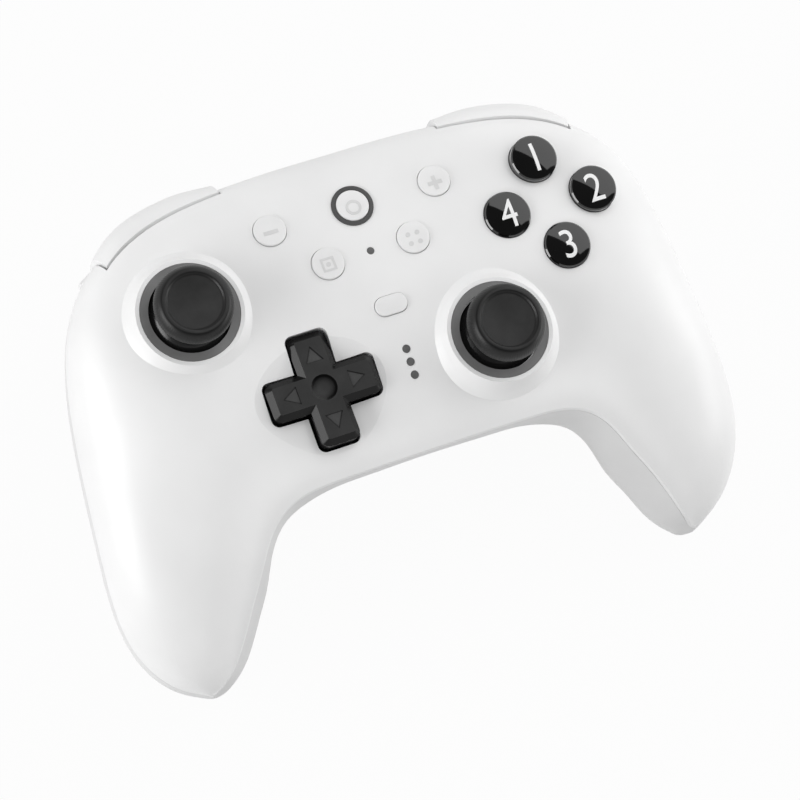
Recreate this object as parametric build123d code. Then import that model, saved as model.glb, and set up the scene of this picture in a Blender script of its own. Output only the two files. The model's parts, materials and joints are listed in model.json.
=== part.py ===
"""Wireless game controller, modelled piece by piece in millimetres.

X runs to the player's right, Y away from the player and Z out of the face.
The pad lies on its back: the grips and the triggers touch the plane Z = 0.
"""
from build123d import *
import math
import os

# Overall sizes
HALF_WIDTH = 76.8
BODY_LENGTH = 110.0
FACE_HEIGHT = 48.0
CROWN_RISE = 10.4
BODY_DEPTH = 24.0
WALL = 2.0
SEAM_GAP = 0.2
EDGE_BAND = 1.0
EDGE_BAND_LEAN = 0.3
OVERRUN = 20.0
STATION_COUNT = 12

# Where the controls sit on the face
OUTER_CONTROL_X = 43.6
OUTER_CONTROL_Y = 24.8
INNER_CONTROL_X = 21.0
INNER_CONTROL_Y = 0.0
TOP_ROW_Y = 37.6
MENU_BUTTON_X = 19.9
SECOND_ROW_Y = 26.3
CAPTURE_BUTTON_X = 10.3
MODE_BUTTON_Y = 13.2
INDICATOR_Y = -0.1
INDICATOR_PITCH = 2.975

# Sticks
STICK_PIVOT_DEPTH = 8.2
STICK_HOLE_CLEARANCE = 0.35
RING_OUTER_RADIUS = 11.1
RING_INNER_RADIUS = 9.24
RING_THICKNESS = 1.7
RING_FIT = 0.1
LEFT_RING_RISE = 2.0
RIGHT_RING_RISE = 2.6
MOUND_RIM_WIDTH = 0.9
MOUND_SINKS = {"left": 2.4, "right": 1.9}
MOUND_BASE_RADII = {"left": 18.0, "right": 17.5}
MOUND_LEANS = {"left": -0.05, "right": 0.0}
DOME_RADIUS = 12.5
DOME_WALL = 0.8
DOME_OPEN_ANGLE = 63.0
DOME_COLLAR_RADIUS = 4.6
DOME_COLLAR_HEIGHT = 1.4
CAP_HEIGHT = 8.9
CAP_RADIUS = 8.9
CAP_DISC_RADIUS = 6.1
CAP_RIDGE_RADIUS = 7.35
CAP_DISH_DEPTH = 0.9
CAP_SKIRT_DROP = 3.1
CAP_SKIRT_HEIGHT = 1.6
CAP_STEM_RADIUS = 4.4
CAP_CROWN = 2.6
SHAFT_RADIUS = 2.0
SHAFT_FIT = 0.05
SHAFT_TAIL = 2.2
HOUSING_WIDTH = 16.0
HOUSING_CORNER = 2.6
HOUSING_BASE = 0.8
HOUSING_WALL = 0.7
HOUSING_RISE = 1.9
YOKE_OUTER_RADIUS = 6.2
YOKE_INNER_RADIUS = 4.6
YOKE_CORE_RADIUS = 3.5
YOKE_HEIGHT = 3.4
YOKE_AXLE_RADIUS = 1.0
YOKE_AXLE_FIT = 0.06

# Direction pad
DPAD_HOLE_LENGTH = 13.25
DPAD_HOLE_WIDTH = 4.99
DPAD_TILT_CLEARANCE = 0.5
DPAD_CORNER = 1.8
DPAD_BEVEL = 1.35
DPAD_RISE = 1.1
DPAD_DIMPLE_RADIUS = 2.95
DPAD_DIMPLE_DEPTH = 0.8
DPAD_DISH_RADIUS = 15.0
DPAD_DISH_DEPTH = 1.5
DPAD_WELL_RADIUS = 17.0
DPAD_WELL_DEPTH = 5.4
DPAD_FLANGE_GAP = 1.1
DPAD_FLANGE_WIDTH = 1.3
DPAD_FLANGE_HEIGHT = 0.9
DPAD_PIVOT_DEPTH = 6.2
DPAD_BALL_RADIUS = 2.0
DPAD_BALL_FIT = 0.06
DPAD_POST_RADIUS = 2.6
DPAD_DOME_SPREAD = 9.0
DPAD_PRESS = 0.9
DPAD_CUP_DEPTH = 1.6
ARROW_LENGTH = 3.6
ARROW_WIDTH = 4.2
ARROW_DEPTH = 0.25
ARROW_INSET = 1.7

# Round buttons
FACE_BUTTON_SPREAD = 10.73
FACE_BUTTON_RADIUS = 5.37
FACE_BUTTON_RISE = 2.2
FACE_BUTTON_DOME = 0.75
FACE_BUTTON_BEVEL = 0.3
FACE_BUTTON_GUIDE = 1.6
FACE_BUTTON_GUIDE_DEPTH = 5.0
FACE_BUTTON_TRAVEL = 1.5
BUTTON_FIT = 0.13
FLANGE_GAP = 0.25
FLANGE_WIDTH = 0.9
FLANGE_HEIGHT = 1.0
SMALL_BUTTON_RADIUS = 3.73
SMALL_BUTTON_RISE = 0.5
SMALL_BUTTON_EDGE = 0.25
SMALL_BUTTON_GUIDE = 1.0
SMALL_BUTTON_GUIDE_DEPTH = 3.4
SMALL_STEM_RADIUS = 1.5
SMALL_BUTTON_TRAVEL = 0.6
MODE_BUTTON_LENGTH = 7.6
MODE_BUTTON_WIDTH = 4.4
HOME_RING_WIDTH = 1.05
HOME_RING_RISE = 0.35
HOME_RING_DEPTH = 1.4
STATUS_LIGHT_RADIUS = 0.83
INDICATOR_RADIUS = 0.9
LIGHT_FIT = 0.05
LIGHT_RISE = 0.05

# Circuit board and what stands on it
BOARD_TOP = 34.8
BOARD_THICKNESS = 1.2
BOARD_HALF_WIDTH = 59.0
BOARD_FRONT_Y = -14.0
BOARD_BACK_Y = 40.0
BOARD_TONGUE_WIDTH = 15.0
BOARD_TONGUE_Y = 49.0
BOARD_TAB_X = 46.0
BOARD_TAB_Y = 43.0
BOARD_TAB_WIDTH = 8.0
BOARD_TAB_SLOPE = 2.5
BOARD_WAIST_Y = 8.0
BOARD_FOOT_X = 40.0
BUMPER_SWITCH_Y = 43.6
BUMPER_SWITCH_WIDTH = 6.0
BUMPER_SWITCH_DEPTH = 3.4
BUMPER_SWITCH_HEIGHT = 3.4
SWITCH_HEIGHT = 0.9
SWITCH_WIDTH = 4.0
MEMBRANE_SHEET = 1.0
MEMBRANE_MARGIN = 0.8
MEMBRANE_DOME_RADIUS = 3.6
MEMBRANE_DOME_TOP_RADIUS = 2.4
PRESS_GAP = 0.1
USB_WIDTH = 8.94
USB_HEIGHT = 3.26
USB_DEPTH = 7.35
USB_WALL = 0.3
USB_TONGUE_HEIGHT = 0.7
USB_INSET = 0.6
USB_FIT = 0.2
BOARD_POST_RADIUS = 2.5
BOARD_SCREW_RADIUS = 1.0
BOARD_SCREW_LENGTH = 5.0
BOARD_SCREW_HEAD_RADIUS = 1.9
BOARD_SCREW_HEAD_HEIGHT = 1.2
SCREW_FIT = 0.05
BOARD_SCREW_SIDE_X = 29.0
BOARD_SCREW_SIDE_Y = 36.5
BOARD_SCREW_END_X = 50.0
BOARD_SCREW_END_Y = 4.0
BOARD_SCREW_MIDDLE_Y = -11.5

# Battery and motors
TRAY_SEAT = 20.6
TRAY_FLOOR = 1.4
TRAY_WALL = 1.2
TRAY_RIM = 4.0
BATTERY_LENGTH = 50.0
BATTERY_WIDTH = 30.0
BATTERY_HEIGHT = 6.2
BATTERY_Y = 10.5
BATTERY_EDGE = 1.5
BATTERY_FIT = 0.2
TRAY_POST_RADIUS = 3.0
MOTOR_X = 57.0
MOTOR_Y = -14.4
MOTOR_SEAT = 9.0
MOTOR_RADIUS = 7.0
MOTOR_HEIGHT = 15.0
MOTOR_SHAFT_RADIUS = 1.0
MOTOR_EDGE = 1.0
MOTOR_CRADLE_WALL = 1.5
MOTOR_CRADLE_HEIGHT = 8.0
MOTOR_FIT = 0.1
WEIGHT_RADIUS = 8.0
WEIGHT_HEIGHT = 4.5
WEIGHT_HUB_RADIUS = 2.6
WEIGHT_GAP = 0.6

# Bumpers
BUMPER_PROUD = 2.9
BUMPER_SKIN = 2.2
BUMPER_TOP = 43.0
BUMPER_BOTTOM = 29.6
BUMPER_GAP = 0.35
BUMPER_INNER_X = 27.0
BUMPER_OUTER_X = 57.5
BUMPER_END_GAP = 0.5
BUMPER_PIN_X = 29.0
BUMPER_PIN_Y = 44.6
BUMPER_PIN_RADIUS = 1.25
BUMPER_PIN_FIT = 0.06
BUMPER_PIN_SEAT = 3.0
BUMPER_LUG_RADIUS = 2.6
BUMPER_LUG_TOP = 40.5
BUMPER_LUG_BOTTOM = 35.6
BUMPER_TRAVEL = 1.2
HALVINGS = 30

# Triggers
TRIGGER_INNER_X = 33.6
TRIGGER_OUTER_X = 57.0
TRIGGER_TOP = 28.6
TRIGGER_TIP_Z = 0.4
TRIGGER_TIP_DEPTH = 3.0
TRIGGER_ROOT_DEPTH = 5.0
TRIGGER_ROOT_HEIGHT = 9.0
TRIGGER_STATIONS = 5
TRIGGER_REACH = 57.4
TRIGGER_END_SHARE = 0.3
TRIGGER_TIP_LIFT = 5.0
TRIGGER_TIP_POWER = 4
TRIGGER_HINGE_Y = 40.5
TRIGGER_HINGE_Z = 24.5
TRIGGER_BARREL_RADIUS = 3.0
TRIGGER_PIN_RADIUS = 1.25
TRIGGER_PIN_FIT = 0.06
TRIGGER_SKIN = 3.4
TRIGGER_ARM = 3.0
TRIGGER_SIDE_GAP = 0.4
TRIGGER_EAR_RADIUS = 2.4
TRIGGER_EAR_X = 48.6
TRIGGER_EAR_WIDTH = 1.8
TRIGGER_BARREL_LENGTH = 10.0
WELL_WALL_Y = 35.4
WELL_WALL_TOP = 33.0
WELL_TRIM = 0.1
SPRING_WIRE = 0.7
SPRING_PITCH = 1.2
SPRING_TURNS = 3

# Flat pad on the back
REST_PAD_Y = 20.0
REST_PAD_RISE = 0.4
REST_PAD_LENGTH = 30.0
REST_PAD_WIDTH = 16.0
REST_PAD_CORNER = 3.0

# Case screws
CASE_SCREW_RADIUS = 1.2
CASE_SCREW_HEAD_RADIUS = 2.5
CASE_SCREW_HEAD_HEIGHT = 1.6
CASE_SCREW_RECESS = 2.2
CASE_SCREW_ENGAGE = 6.0
CASE_BOSS_RADIUS = 3.4
CASE_RECESS_WALL = 1.0
UPPER_SCREW_X = 16.0
UPPER_SCREW_Y = 45.0
LOWER_SCREW_X = 62.0
LOWER_SCREW_Y = -34.0
LOWER_BOSS_TOP = 20.0
UPPER_BOSS_TOP = 34.0

# The inner seam runs round the waist and down between the grips and the outer
# seam follows the widest line. Shares are of the half width, length and height.
INNER_SEAM_SHARES = [
    (0.000, -0.179, 0.869), (0.182, -0.179, 0.869), (0.326, -0.181, 0.869),
    (0.430, -0.189, 0.856), (0.513, -0.221, 0.815), (0.570, -0.276, 0.742),
    (0.620, -0.332, 0.671), (0.666, -0.385, 0.592), (0.710, -0.434, 0.488),
    (0.748, -0.464, 0.365), (0.792, -0.480, 0.260)]
OUTER_SEAM_SHARES = [
    (0.000, 0.482, 0.760), (0.221, 0.481, 0.760), (0.443, 0.471, 0.754),
    (0.638, 0.444, 0.744), (0.781, 0.387, 0.733), (0.872, 0.310, 0.708),
    (0.931, 0.196, 0.654), (0.966, 0.051, 0.600), (0.990, -0.113, 0.550),
    (0.999, -0.258, 0.454), (0.980, -0.340, 0.367), (0.930, -0.407, 0.300),
    (0.852, -0.456, 0.250)]

# How the crown and the depth change from the middle, at 0, to a grip tip, at 1
CROWN_SHARES = [(0.0, 1.0), (0.25, 1.03), (0.42, 1.09), (0.58, 1.07),
                (0.75, 0.89), (0.83, 0.77), (0.92, 0.59), (1.0, 0.2)]
DEPTH_SHARES = [(0.0, 1.0), (0.25, 1.04), (0.42, 1.1), (0.58, 1.17),
                (0.75, 1.07), (0.83, 0.91), (0.92, 0.62), (1.0, 0.19)]
GRIP_SHARES = [(0.0, 0.0), (0.25, 0.05), (0.42, 0.35), (0.58, 0.8),
               (0.75, 1.0), (1.0, 1.0)]

# How far round the body the hollow and the trimming core reach
HOLLOW_END_SHARE = 0.9
CORE_END_SHARE = 0.95

# Flare of the mound round a stick, as shares of its run outwards and of its drop
MOUND_SHARES = [(0.0, 0.0), (0.06, 0.10), (0.16, 0.30), (0.32, 0.52), (0.55, 0.74),
                (0.80, 0.90), (1.0, 1.0)]

# Finger surface of a trigger, as shares of its reach and its height
TRIGGER_SHARES = [(-0.12, 1.0), (0.18, 0.82), (0.36, 0.60), (0.58, 0.36), (0.90, 0.14),
                  (0.98, 0.03), (0.86, 0.0)]

# Where the bumper's line is read along a slice
OUTER_SEARCH_SHARE = 0.62
BUMPER_SEARCH_SHARE = 0.6
BUMPER_CROWN_SHARES = [0.0, 0.35, 0.7, 1.0]
BUMPER_BACK_SHARES = [0.5, 1.0]

# How far a bumper bulges, from its inner end to its outer end and from top to bottom
BUMPER_END_SHARES = [0.55, 0.85, 1.0, 1.0, 0.95, 0.75, 0.4]
BUMPER_ROUND_SHARES = [0.2, 0.7, 0.95, 1.0, 0.9, 0.6]

# Section outlines as shares of the chord and of the crown or the depth
FRONT_BODY_SHARES = [(0.02, 0.17), (0.12, 0.39), (0.27, 0.655), (0.45, 0.88),
                     (0.65, 0.975), (0.80, 0.94), (0.905, 0.86), (0.975, 0.60)]
FRONT_GRIP_SHARES = [(0.03, 0.19), (0.12, 0.38), (0.27, 0.68), (0.43, 0.89),
                     (0.60, 0.99), (0.76, 0.94), (0.89, 0.72), (0.97, 0.42)]
REAR_BODY_SHARES = [(0.985, -0.40), (0.92, -0.86), (0.75, -1.0), (0.45, -1.02),
                    (0.17, -0.92), (0.03, -0.55), (0.005, -0.22)]
REAR_GRIP_SHARES = [(0.975, -0.38), (0.86, -0.78), (0.64, -1.0), (0.36, -1.0),
                    (0.06, -0.86), (-0.085, -0.55), (-0.045, -0.22)]


def seam_curve(shares, start, end):
    """A smooth line through the seam's points on the right half."""
    points = [Vector(x * HALF_WIDTH, y * BODY_LENGTH, z * FACE_HEIGHT) for x, y, z in shares]
    return Spline(points, tangents=[Vector(*start), Vector(*end)])


def share_at(shares, station):
    """Reads a table of shares at a station, smoothly between its rows."""
    for (low, first), (high, second) in zip(shares, shares[1:]):
        if station <= high:
            part = (station - low) / (high - low)
            eased = part * part * (3 - 2 * part)
            return first + (second - first) * (0.5 * part + 0.5 * eased)
    return shares[-1][1]


def blended(first, second, share):
    """Mixes two section outlines point by point."""
    return [(a + (c - a) * share, b + (d - b) * share) for (a, b), (c, d) in zip(first, second)]


INNER_SEAM = seam_curve(INNER_SEAM_SHARES, (1, 0, 0), (1, -0.3, -0.6))
OUTER_SEAM = seam_curve(OUTER_SEAM_SHARES, (1, 0, 0), (-1, -0.8, -0.1))


class Section:
    """One upright slice through the body, from the inner seam to the outer seam."""

    def __init__(self, station, side):
        self.inner = INNER_SEAM @ station
        self.outer = OUTER_SEAM @ station
        self.side = side
        across = Vector(self.outer.X - self.inner.X, self.outer.Y - self.inner.Y, 0)
        self.length = across.length
        self.direction = across.normalized()
        grip = share_at(GRIP_SHARES, station)
        crown = CROWN_RISE * share_at(CROWN_SHARES, station)
        depth = BODY_DEPTH * share_at(DEPTH_SHARES, station)
        front = blended(FRONT_BODY_SHARES, FRONT_GRIP_SHARES, grip)
        rear = blended(REAR_BODY_SHARES, REAR_GRIP_SHARES, grip)
        self.front = [(x * self.length, z * crown) for x, z in front]
        self.rear = [(x * self.length, z * depth) for x, z in rear]

    def lift(self, distance):
        """Height of the chord between the two seams."""
        return self.inner.Z + (self.outer.Z - self.inner.Z) * distance / self.length

    def place(self, point):
        """Turns a distance along the chord and a rise above it into a point of the body."""
        distance, rise = point
        spot = self.inner + self.direction * distance
        return Vector(self.side * spot.X, spot.Y, self.lift(distance) + rise)

    def curve(self, points, start_down=False, end_down=False):
        """A smooth curve through points, upright at the outer seam."""
        spots = [self.place(point) for point in points]
        first = (spots[1] - spots[0]).normalized()
        last = (spots[-1] - spots[-2]).normalized()
        down = Vector(0, 0, -1)
        tangents = [down if start_down else first, down if end_down else last]
        return Edge.make_spline(spots, tangents=tangents, scale=False)

    def shrunk(self, inset):
        """The whole outline moved inwards by a wall, as a front and a rear list."""
        ring = [(0, 0)] + self.front + [(self.length, 0)] + self.rear
        moved = []
        for index, (x, z) in enumerate(ring):
            before = ring[index - 1]
            after = ring[(index + 1) % len(ring)]
            run = (after[0] - before[0], after[1] - before[1])
            size = math.hypot(*run)
            moved.append((x + run[1] / size * inset, z - run[0] / size * inset))
        split = len(self.front) + 2
        return moved[:split], moved[split - 1:] + moved[:1]

    def front_wire(self):
        """Outline of the front shell's slice, with the small band along its edge."""
        foot = (0, 0)
        band = (EDGE_BAND_LEAN, EDGE_BAND)
        crown = self.curve([band] + self.front + [(self.length, 0)], end_down=True)
        edge = Edge.make_line(self.place(foot), self.place(band))
        return Wire([edge, crown, Edge.make_line(crown @ 1, self.place(foot))])

    def rear_wire(self):
        """Outline of the rear shell's slice, just under the seam."""
        points = [(self.length, -SEAM_GAP)] + self.rear + [(0, -SEAM_GAP)]
        back = self.curve(points, start_down=True)
        return Wire([back, Edge.make_line(back @ 1, back @ 0)])

    def hollow_wire(self):
        """Outline of the space inside the walls."""
        front, rear = self.shrunk(WALL)
        upper = self.curve(front, end_down=True)
        lower = self.curve(rear, start_down=True)
        return Wire([upper, lower])


def body_stations(last):
    """Every station from the left grip tip round to the right one, with its side."""
    stations = [last * index / STATION_COUNT for index in range(STATION_COUNT + 1)]
    left = [(station, -1) for station in reversed(stations[1:])]
    return left + [(station, 1) for station in stations]


def body_loft(outline, last=1.0):
    """Sweeps a slice's outline round the whole body."""
    wires = [outline(Section(station, side)) for station, side in body_stations(last)]
    return Solid.make_loft(wires, False)


FRONT_BLOCK = body_loft(Section.front_wire)
REAR_BLOCK = body_loft(Section.rear_wire)
HOLLOW = body_loft(Section.hollow_wire, HOLLOW_END_SHARE)


def core_wire(section):
    """Outline halfway into the walls, which trims the posts inside."""
    front, rear = section.shrunk(WALL / 2)
    return Wire([section.curve(front, end_down=True), section.curve(rear, start_down=True)])


CORE = body_loft(core_wire, CORE_END_SHARE)


def hit(block, x, y, upwards):
    """The outermost point of a block above or below a place, with its direction."""
    hits = block.find_intersection_points(Axis((x, y, -FACE_HEIGHT), (0, 0, 1)))
    point, normal = max(hits, key=lambda found: found[0].Z if upwards else -found[0].Z)
    return point, normal if (normal.Z > 0) == upwards else normal * -1


def face_frame(x, y):
    """A plane on the face with its Z straight out of the surface."""
    point, normal = hit(FRONT_BLOCK, x, y, True)
    return Plane(origin=point, x_dir=Vector(1, 0, 0), z_dir=normal)


def back_height(x, y):
    """Height of the back of the pad under a place."""
    return hit(REAR_BLOCK, x, y, False)[0].Z


def upright(x, y, z):
    """A level plane at a place."""
    return Plane(origin=(x, y, z))


def rod(plane, radius, low, high):
    """A round rod along a plane's Z from low to high."""
    centre = plane.offset(low)
    return Solid.make_cylinder(radius, high - low, centre)


def tube(plane, outer, inner, low, high):
    """A round tube along a plane's Z."""
    return rod(plane, outer, low, high).cut(rod(plane, inner, low, high))


def block(x, y, z):
    """A box between pairs of limits."""
    solid = Solid.make_box(x[1] - x[0], y[1] - y[0], z[1] - z[0])
    return solid.moved(Location((x[0], y[0], z[0])))


def turned(plane, outline):
    """Turns a closed outline of radius and height round a plane's Z."""
    wire = Wire.make_polygon([Vector(radius, 0, height) for radius, height in outline], close=True)
    solid = Solid.revolve(Face(wire), 360, Axis.Z)
    return plane.location * solid


def plate(plane, sketch, low, high):
    """A flat shape drawn on a plane, between two heights along its Z."""
    return extrude(plane.offset(low) * sketch, high - low, dir=plane.z_dir)


def mirrored(shape):
    """The same piece on the other side of the pad."""
    return mirror(shape, Plane.YZ)


def cap_radius(half_chord, sag):
    """Radius of a ball whose cap has this half width and this height."""
    return (half_chord ** 2 + sag ** 2) / (2 * sag)


# Where each stick stands
LEFT_STICK = upright(-OUTER_CONTROL_X, OUTER_CONTROL_Y, FACE_HEIGHT - STICK_PIVOT_DEPTH)
RIGHT_STICK = upright(INNER_CONTROL_X, INNER_CONTROL_Y, FACE_HEIGHT - STICK_PIVOT_DEPTH)
STICKS = {"left": (LEFT_STICK, LEFT_RING_RISE), "right": (RIGHT_STICK, RIGHT_RING_RISE)}
DPAD = upright(-INNER_CONTROL_X, INNER_CONTROL_Y, FACE_HEIGHT)
SWEEP_RADIUS = DOME_RADIUS + STICK_HOLE_CLEARANCE


def stick_mound(side):
    """The raised collar round a stick: a stack of circles from its level rim to the face."""
    plane, rise = STICKS[side]
    face = face_frame(plane.origin.X, plane.origin.Y)
    top = plane.origin + Vector(0, 0, STICK_PIVOT_DEPTH + rise)
    base = face.origin - face.z_dir * MOUND_SINKS[side]
    upright_axis = Vector(0, 0, 1)
    lean = face.z_dir + Vector(MOUND_LEANS[side], 0, 0) - upright_axis
    rim = RING_OUTER_RADIUS + RING_FIT + MOUND_RIM_WIDTH
    circles = []
    for out, down in MOUND_SHARES:
        level = Plane(origin=top + (base - top) * down, x_dir=Vector(1, 0, 0),
                      z_dir=upright_axis + lean * down)
        circles.append(Wire.make_circle(rim + (MOUND_BASE_RADII[side] - rim) * out, level))
    return Solid.make_loft(circles)


def stick_hole(plane, rise):
    """Seat for the ring and room for the dome to roll."""
    top = STICK_PIVOT_DEPTH + rise
    seat = rod(plane, RING_OUTER_RADIUS + RING_FIT, top - RING_THICKNESS, top + OVERRUN)
    return seat.fuse(plane.location * Solid.make_sphere(SWEEP_RADIUS))


def cross(length, width, corner):
    """A cross with rounded outer corners, as a flat shape."""
    arm = RectangleRounded(2 * length, 2 * width, corner)
    return arm + Rot(0, 0, 90) * arm


DPAD_DISH_BALL = cap_radius(DPAD_DISH_RADIUS, DPAD_DISH_DEPTH)
DPAD_SURFACE = face_frame(-INNER_CONTROL_X, INNER_CONTROL_Y)


def dpad_dish():
    """The ball that scoops the shallow dish out of the face."""
    centre = DPAD_SURFACE.offset(DPAD_DISH_BALL - DPAD_DISH_DEPTH)
    return centre.location * Solid.make_sphere(DPAD_DISH_BALL)


# The four round buttons, and the small buttons that follow the face
FACE_BUTTONS = {
    "top": (0, 1), "right": (1, 0), "bottom": (0, -1), "left": (-1, 0)}


def face_button_plane(name):
    """Level plane of a round button at the height of the face."""
    across, along = FACE_BUTTONS[name]
    return upright(OUTER_CONTROL_X + across * FACE_BUTTON_SPREAD,
                   OUTER_CONTROL_Y + along * FACE_BUTTON_SPREAD, FACE_HEIGHT)


SMALL_BUTTONS = {
    "minus": face_frame(-MENU_BUTTON_X, TOP_ROW_Y),
    "plus": face_frame(MENU_BUTTON_X, TOP_ROW_Y),
    "home": face_frame(0, TOP_ROW_Y),
    "capture": face_frame(-CAPTURE_BUTTON_X, SECOND_ROW_Y),
    "assist": face_frame(CAPTURE_BUTTON_X, SECOND_ROW_Y),
    "mode": face_frame(0, MODE_BUTTON_Y)}


def small_outline(name, margin):
    """Outline of a small button, widened by a margin."""
    if name == "mode":
        return SlotOverall(MODE_BUTTON_LENGTH + 2 * margin, MODE_BUTTON_WIDTH + 2 * margin)
    return Circle(SMALL_BUTTON_RADIUS + margin)


def guide_margin(name):
    """How far a small button's guide stands out round it."""
    ring = HOME_RING_WIDTH if name == "home" else 0
    return SMALL_BUTTON_GUIDE + ring


def front_guides():
    """Collars under the face that guide the buttons, and the thick base of the dish."""
    parts = []
    for name in FACE_BUTTONS:
        plane = face_button_plane(name)
        radius = FACE_BUTTON_RADIUS + FACE_BUTTON_GUIDE
        parts.append(rod(plane, radius, -FACE_BUTTON_GUIDE_DEPTH, WALL))
    for name, plane in SMALL_BUTTONS.items():
        shape = small_outline(name, guide_margin(name))
        parts.append(plate(plane, shape, -SMALL_BUTTON_GUIDE_DEPTH, 0))
    parts.append(rod(DPAD, DPAD_WELL_RADIUS, -DPAD_WELL_DEPTH, WALL))
    return parts


def board_screw_places():
    """Where screws hold the board."""
    pairs = [(BOARD_SCREW_SIDE_X, BOARD_SCREW_SIDE_Y), (BOARD_SCREW_END_X, BOARD_SCREW_END_Y)]
    sides = [(side * x, y) for x, y in pairs for side in (-1, 1)]
    return sides + [(0, BOARD_SCREW_MIDDLE_Y)]


def case_screw_places():
    """Where screws hold the two shells, with the height where their posts meet."""
    upper = [(side * UPPER_SCREW_X, UPPER_SCREW_Y, UPPER_BOSS_TOP) for side in (-1, 1)]
    lower = [(side * LOWER_SCREW_X, LOWER_SCREW_Y, LOWER_BOSS_TOP) for side in (-1, 1)]
    return upper + lower


def front_posts():
    """Posts that hang from the face to the board, the rear shell and the bumper pins."""
    parts = []
    for x, y in board_screw_places():
        parts.append(rod(upright(x, y, 0), BOARD_POST_RADIUS, BOARD_TOP, FACE_HEIGHT))
    for x, y, meeting in case_screw_places():
        parts.append(rod(upright(x, y, 0), CASE_BOSS_RADIUS, meeting, FACE_HEIGHT))
    for side in (-1, 1):
        plane = upright(side * BUMPER_PIN_X, BUMPER_PIN_Y, 0)
        parts.append(rod(plane, BUMPER_LUG_RADIUS, BUMPER_LUG_TOP + BUMPER_GAP, FACE_HEIGHT))
    return parts


def front_cuts():
    """Everything that is bored through the front shell."""
    cuts = [stick_hole(*STICKS[side]) for side in STICKS] + bumper_pin_holes()
    cuts.append(dpad_dish())
    cuts.append(plate(DPAD, cross(DPAD_HOLE_LENGTH, DPAD_HOLE_WIDTH, DPAD_CORNER),
                      -OVERRUN, OVERRUN))
    for name in FACE_BUTTONS:
        plane = face_button_plane(name)
        cuts.append(rod(plane, FACE_BUTTON_RADIUS + BUTTON_FIT, -OVERRUN / 2, OVERRUN))
    for name, plane in SMALL_BUTTONS.items():
        cuts.append(plate(plane, small_outline(name, BUTTON_FIT), -OVERRUN / 2, OVERRUN))
    home = SMALL_BUTTONS["home"]
    cuts.append(rod(home, SMALL_BUTTON_RADIUS + HOME_RING_WIDTH + LIGHT_FIT,
                    -HOME_RING_DEPTH, OVERRUN))
    for x, y, radius in light_places():
        plane = upright(x, y, 0)
        cuts.append(rod(plane, radius + LIGHT_FIT, BOARD_TOP, FACE_HEIGHT + OVERRUN))
    for x, y in board_screw_places():
        hole = rod(upright(x, y, 0), BOARD_SCREW_RADIUS + SCREW_FIT, BOARD_TOP - WALL,
                   BOARD_TOP + BOARD_SCREW_LENGTH)
        cuts.append(hole)
    for x, y, meeting in case_screw_places():
        cuts.append(rod(upright(x, y, 0), CASE_SCREW_RADIUS + SCREW_FIT, meeting - WALL,
                        meeting + CASE_SCREW_ENGAGE + SCREW_FIT))
    return cuts


def light_places():
    """Centre and radius of each light in the face."""
    row = [(0, INDICATOR_Y + step * INDICATOR_PITCH, INDICATOR_RADIUS) for step in (1, 0, -1)]
    return [(0, SECOND_ROW_Y, STATUS_LIGHT_RADIUS)] + row


def usb_shape(margin):
    """Section of the USB inlet on an upright plane."""
    width = USB_WIDTH + 2 * margin
    height = USB_HEIGHT + 2 * margin
    return RectangleRounded(width, height, height / 2 - USB_WALL / 2)


USB_FACE_Y = (OUTER_SEAM @ 0).Y - USB_INSET
USB_CENTRE_Z = BOARD_TOP + USB_HEIGHT / 2
USB_PLANE = Plane(origin=(0, USB_FACE_Y, USB_CENTRE_Z), x_dir=(-1, 0, 0), z_dir=(0, 1, 0))


def usb_opening():
    """Slot for the inlet through both shells."""
    return plate(USB_PLANE, usb_shape(USB_FIT), -USB_DEPTH - USB_FIT, OVERRUN)


def outer_station(x):
    """Station where the outer seam, on its way out, reaches a distance from the middle."""
    low, high = 0.0, OUTER_SEARCH_SHARE
    for _ in range(HALVINGS):
        middle = (low + high) / 2
        if (OUTER_SEAM @ middle).X < x:
            low = middle
        else:
            high = middle
    return low


def at_height(edge, height, low, high):
    """Parameter of an edge that falls from low to high where it passes a height."""
    for _ in range(HALVINGS):
        middle = (low + high) / 2
        if (edge @ middle).Z > height:
            low = middle
        else:
            high = middle
    return low


def bumper_wire(section, prouds, skin, top, bottom):
    """Slice of a bumper: the body's own outline, bulged out and moved in."""
    crown = section.curve([(EDGE_BAND_LEAN, EDGE_BAND)] + section.front + [(section.length, 0)],
                          end_down=True)
    back = section.curve([(section.length, 0)] + section.rear, start_down=True)
    across = Vector(section.side * section.direction.X, section.direction.Y, 0)
    level = across.cross(Vector(0, 0, 1)).normalized()
    start = at_height(crown, top, BUMPER_SEARCH_SHARE, 1.0)
    end = at_height(back, bottom, 0.0, BUMPER_SEARCH_SHARE)
    walk = [(crown, start + (1 - start) * share) for share in BUMPER_CROWN_SHARES]
    walk += [(back, end * share) for share in BUMPER_BACK_SHARES]
    outer, inner = [], []
    for (edge, place), proud in zip(walk, prouds):
        spot = edge @ place
        outward = (edge % place).cross(level).normalized()
        outward = outward if outward.dot(across) > 0 else outward * -1
        flat = Vector(outward.X, outward.Y, outward.Z)
        outer.append(spot + flat * proud)
        inner.append(spot - flat * skin)
    return Wire([Edge.make_spline(outer), Edge.make_line(outer[-1], inner[-1]),
                 Edge.make_spline(inner[::-1]), Edge.make_line(inner[0], outer[0])])


def bumper_loft(side, bulge, skin, margin, start_x, end_x):
    """The band of a bumper between two distances from the middle."""
    first = outer_station(start_x)
    last = outer_station(end_x)
    top = BUMPER_TOP + margin
    bottom = BUMPER_BOTTOM - margin
    wires = []
    for index, prouds in enumerate(bulge):
        step = first + (last - first) * index / (len(bulge) - 1)
        wires.append(bumper_wire(Section(step, side), prouds, skin, top, bottom))
    return Solid.make_loft(wires, False)


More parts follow.
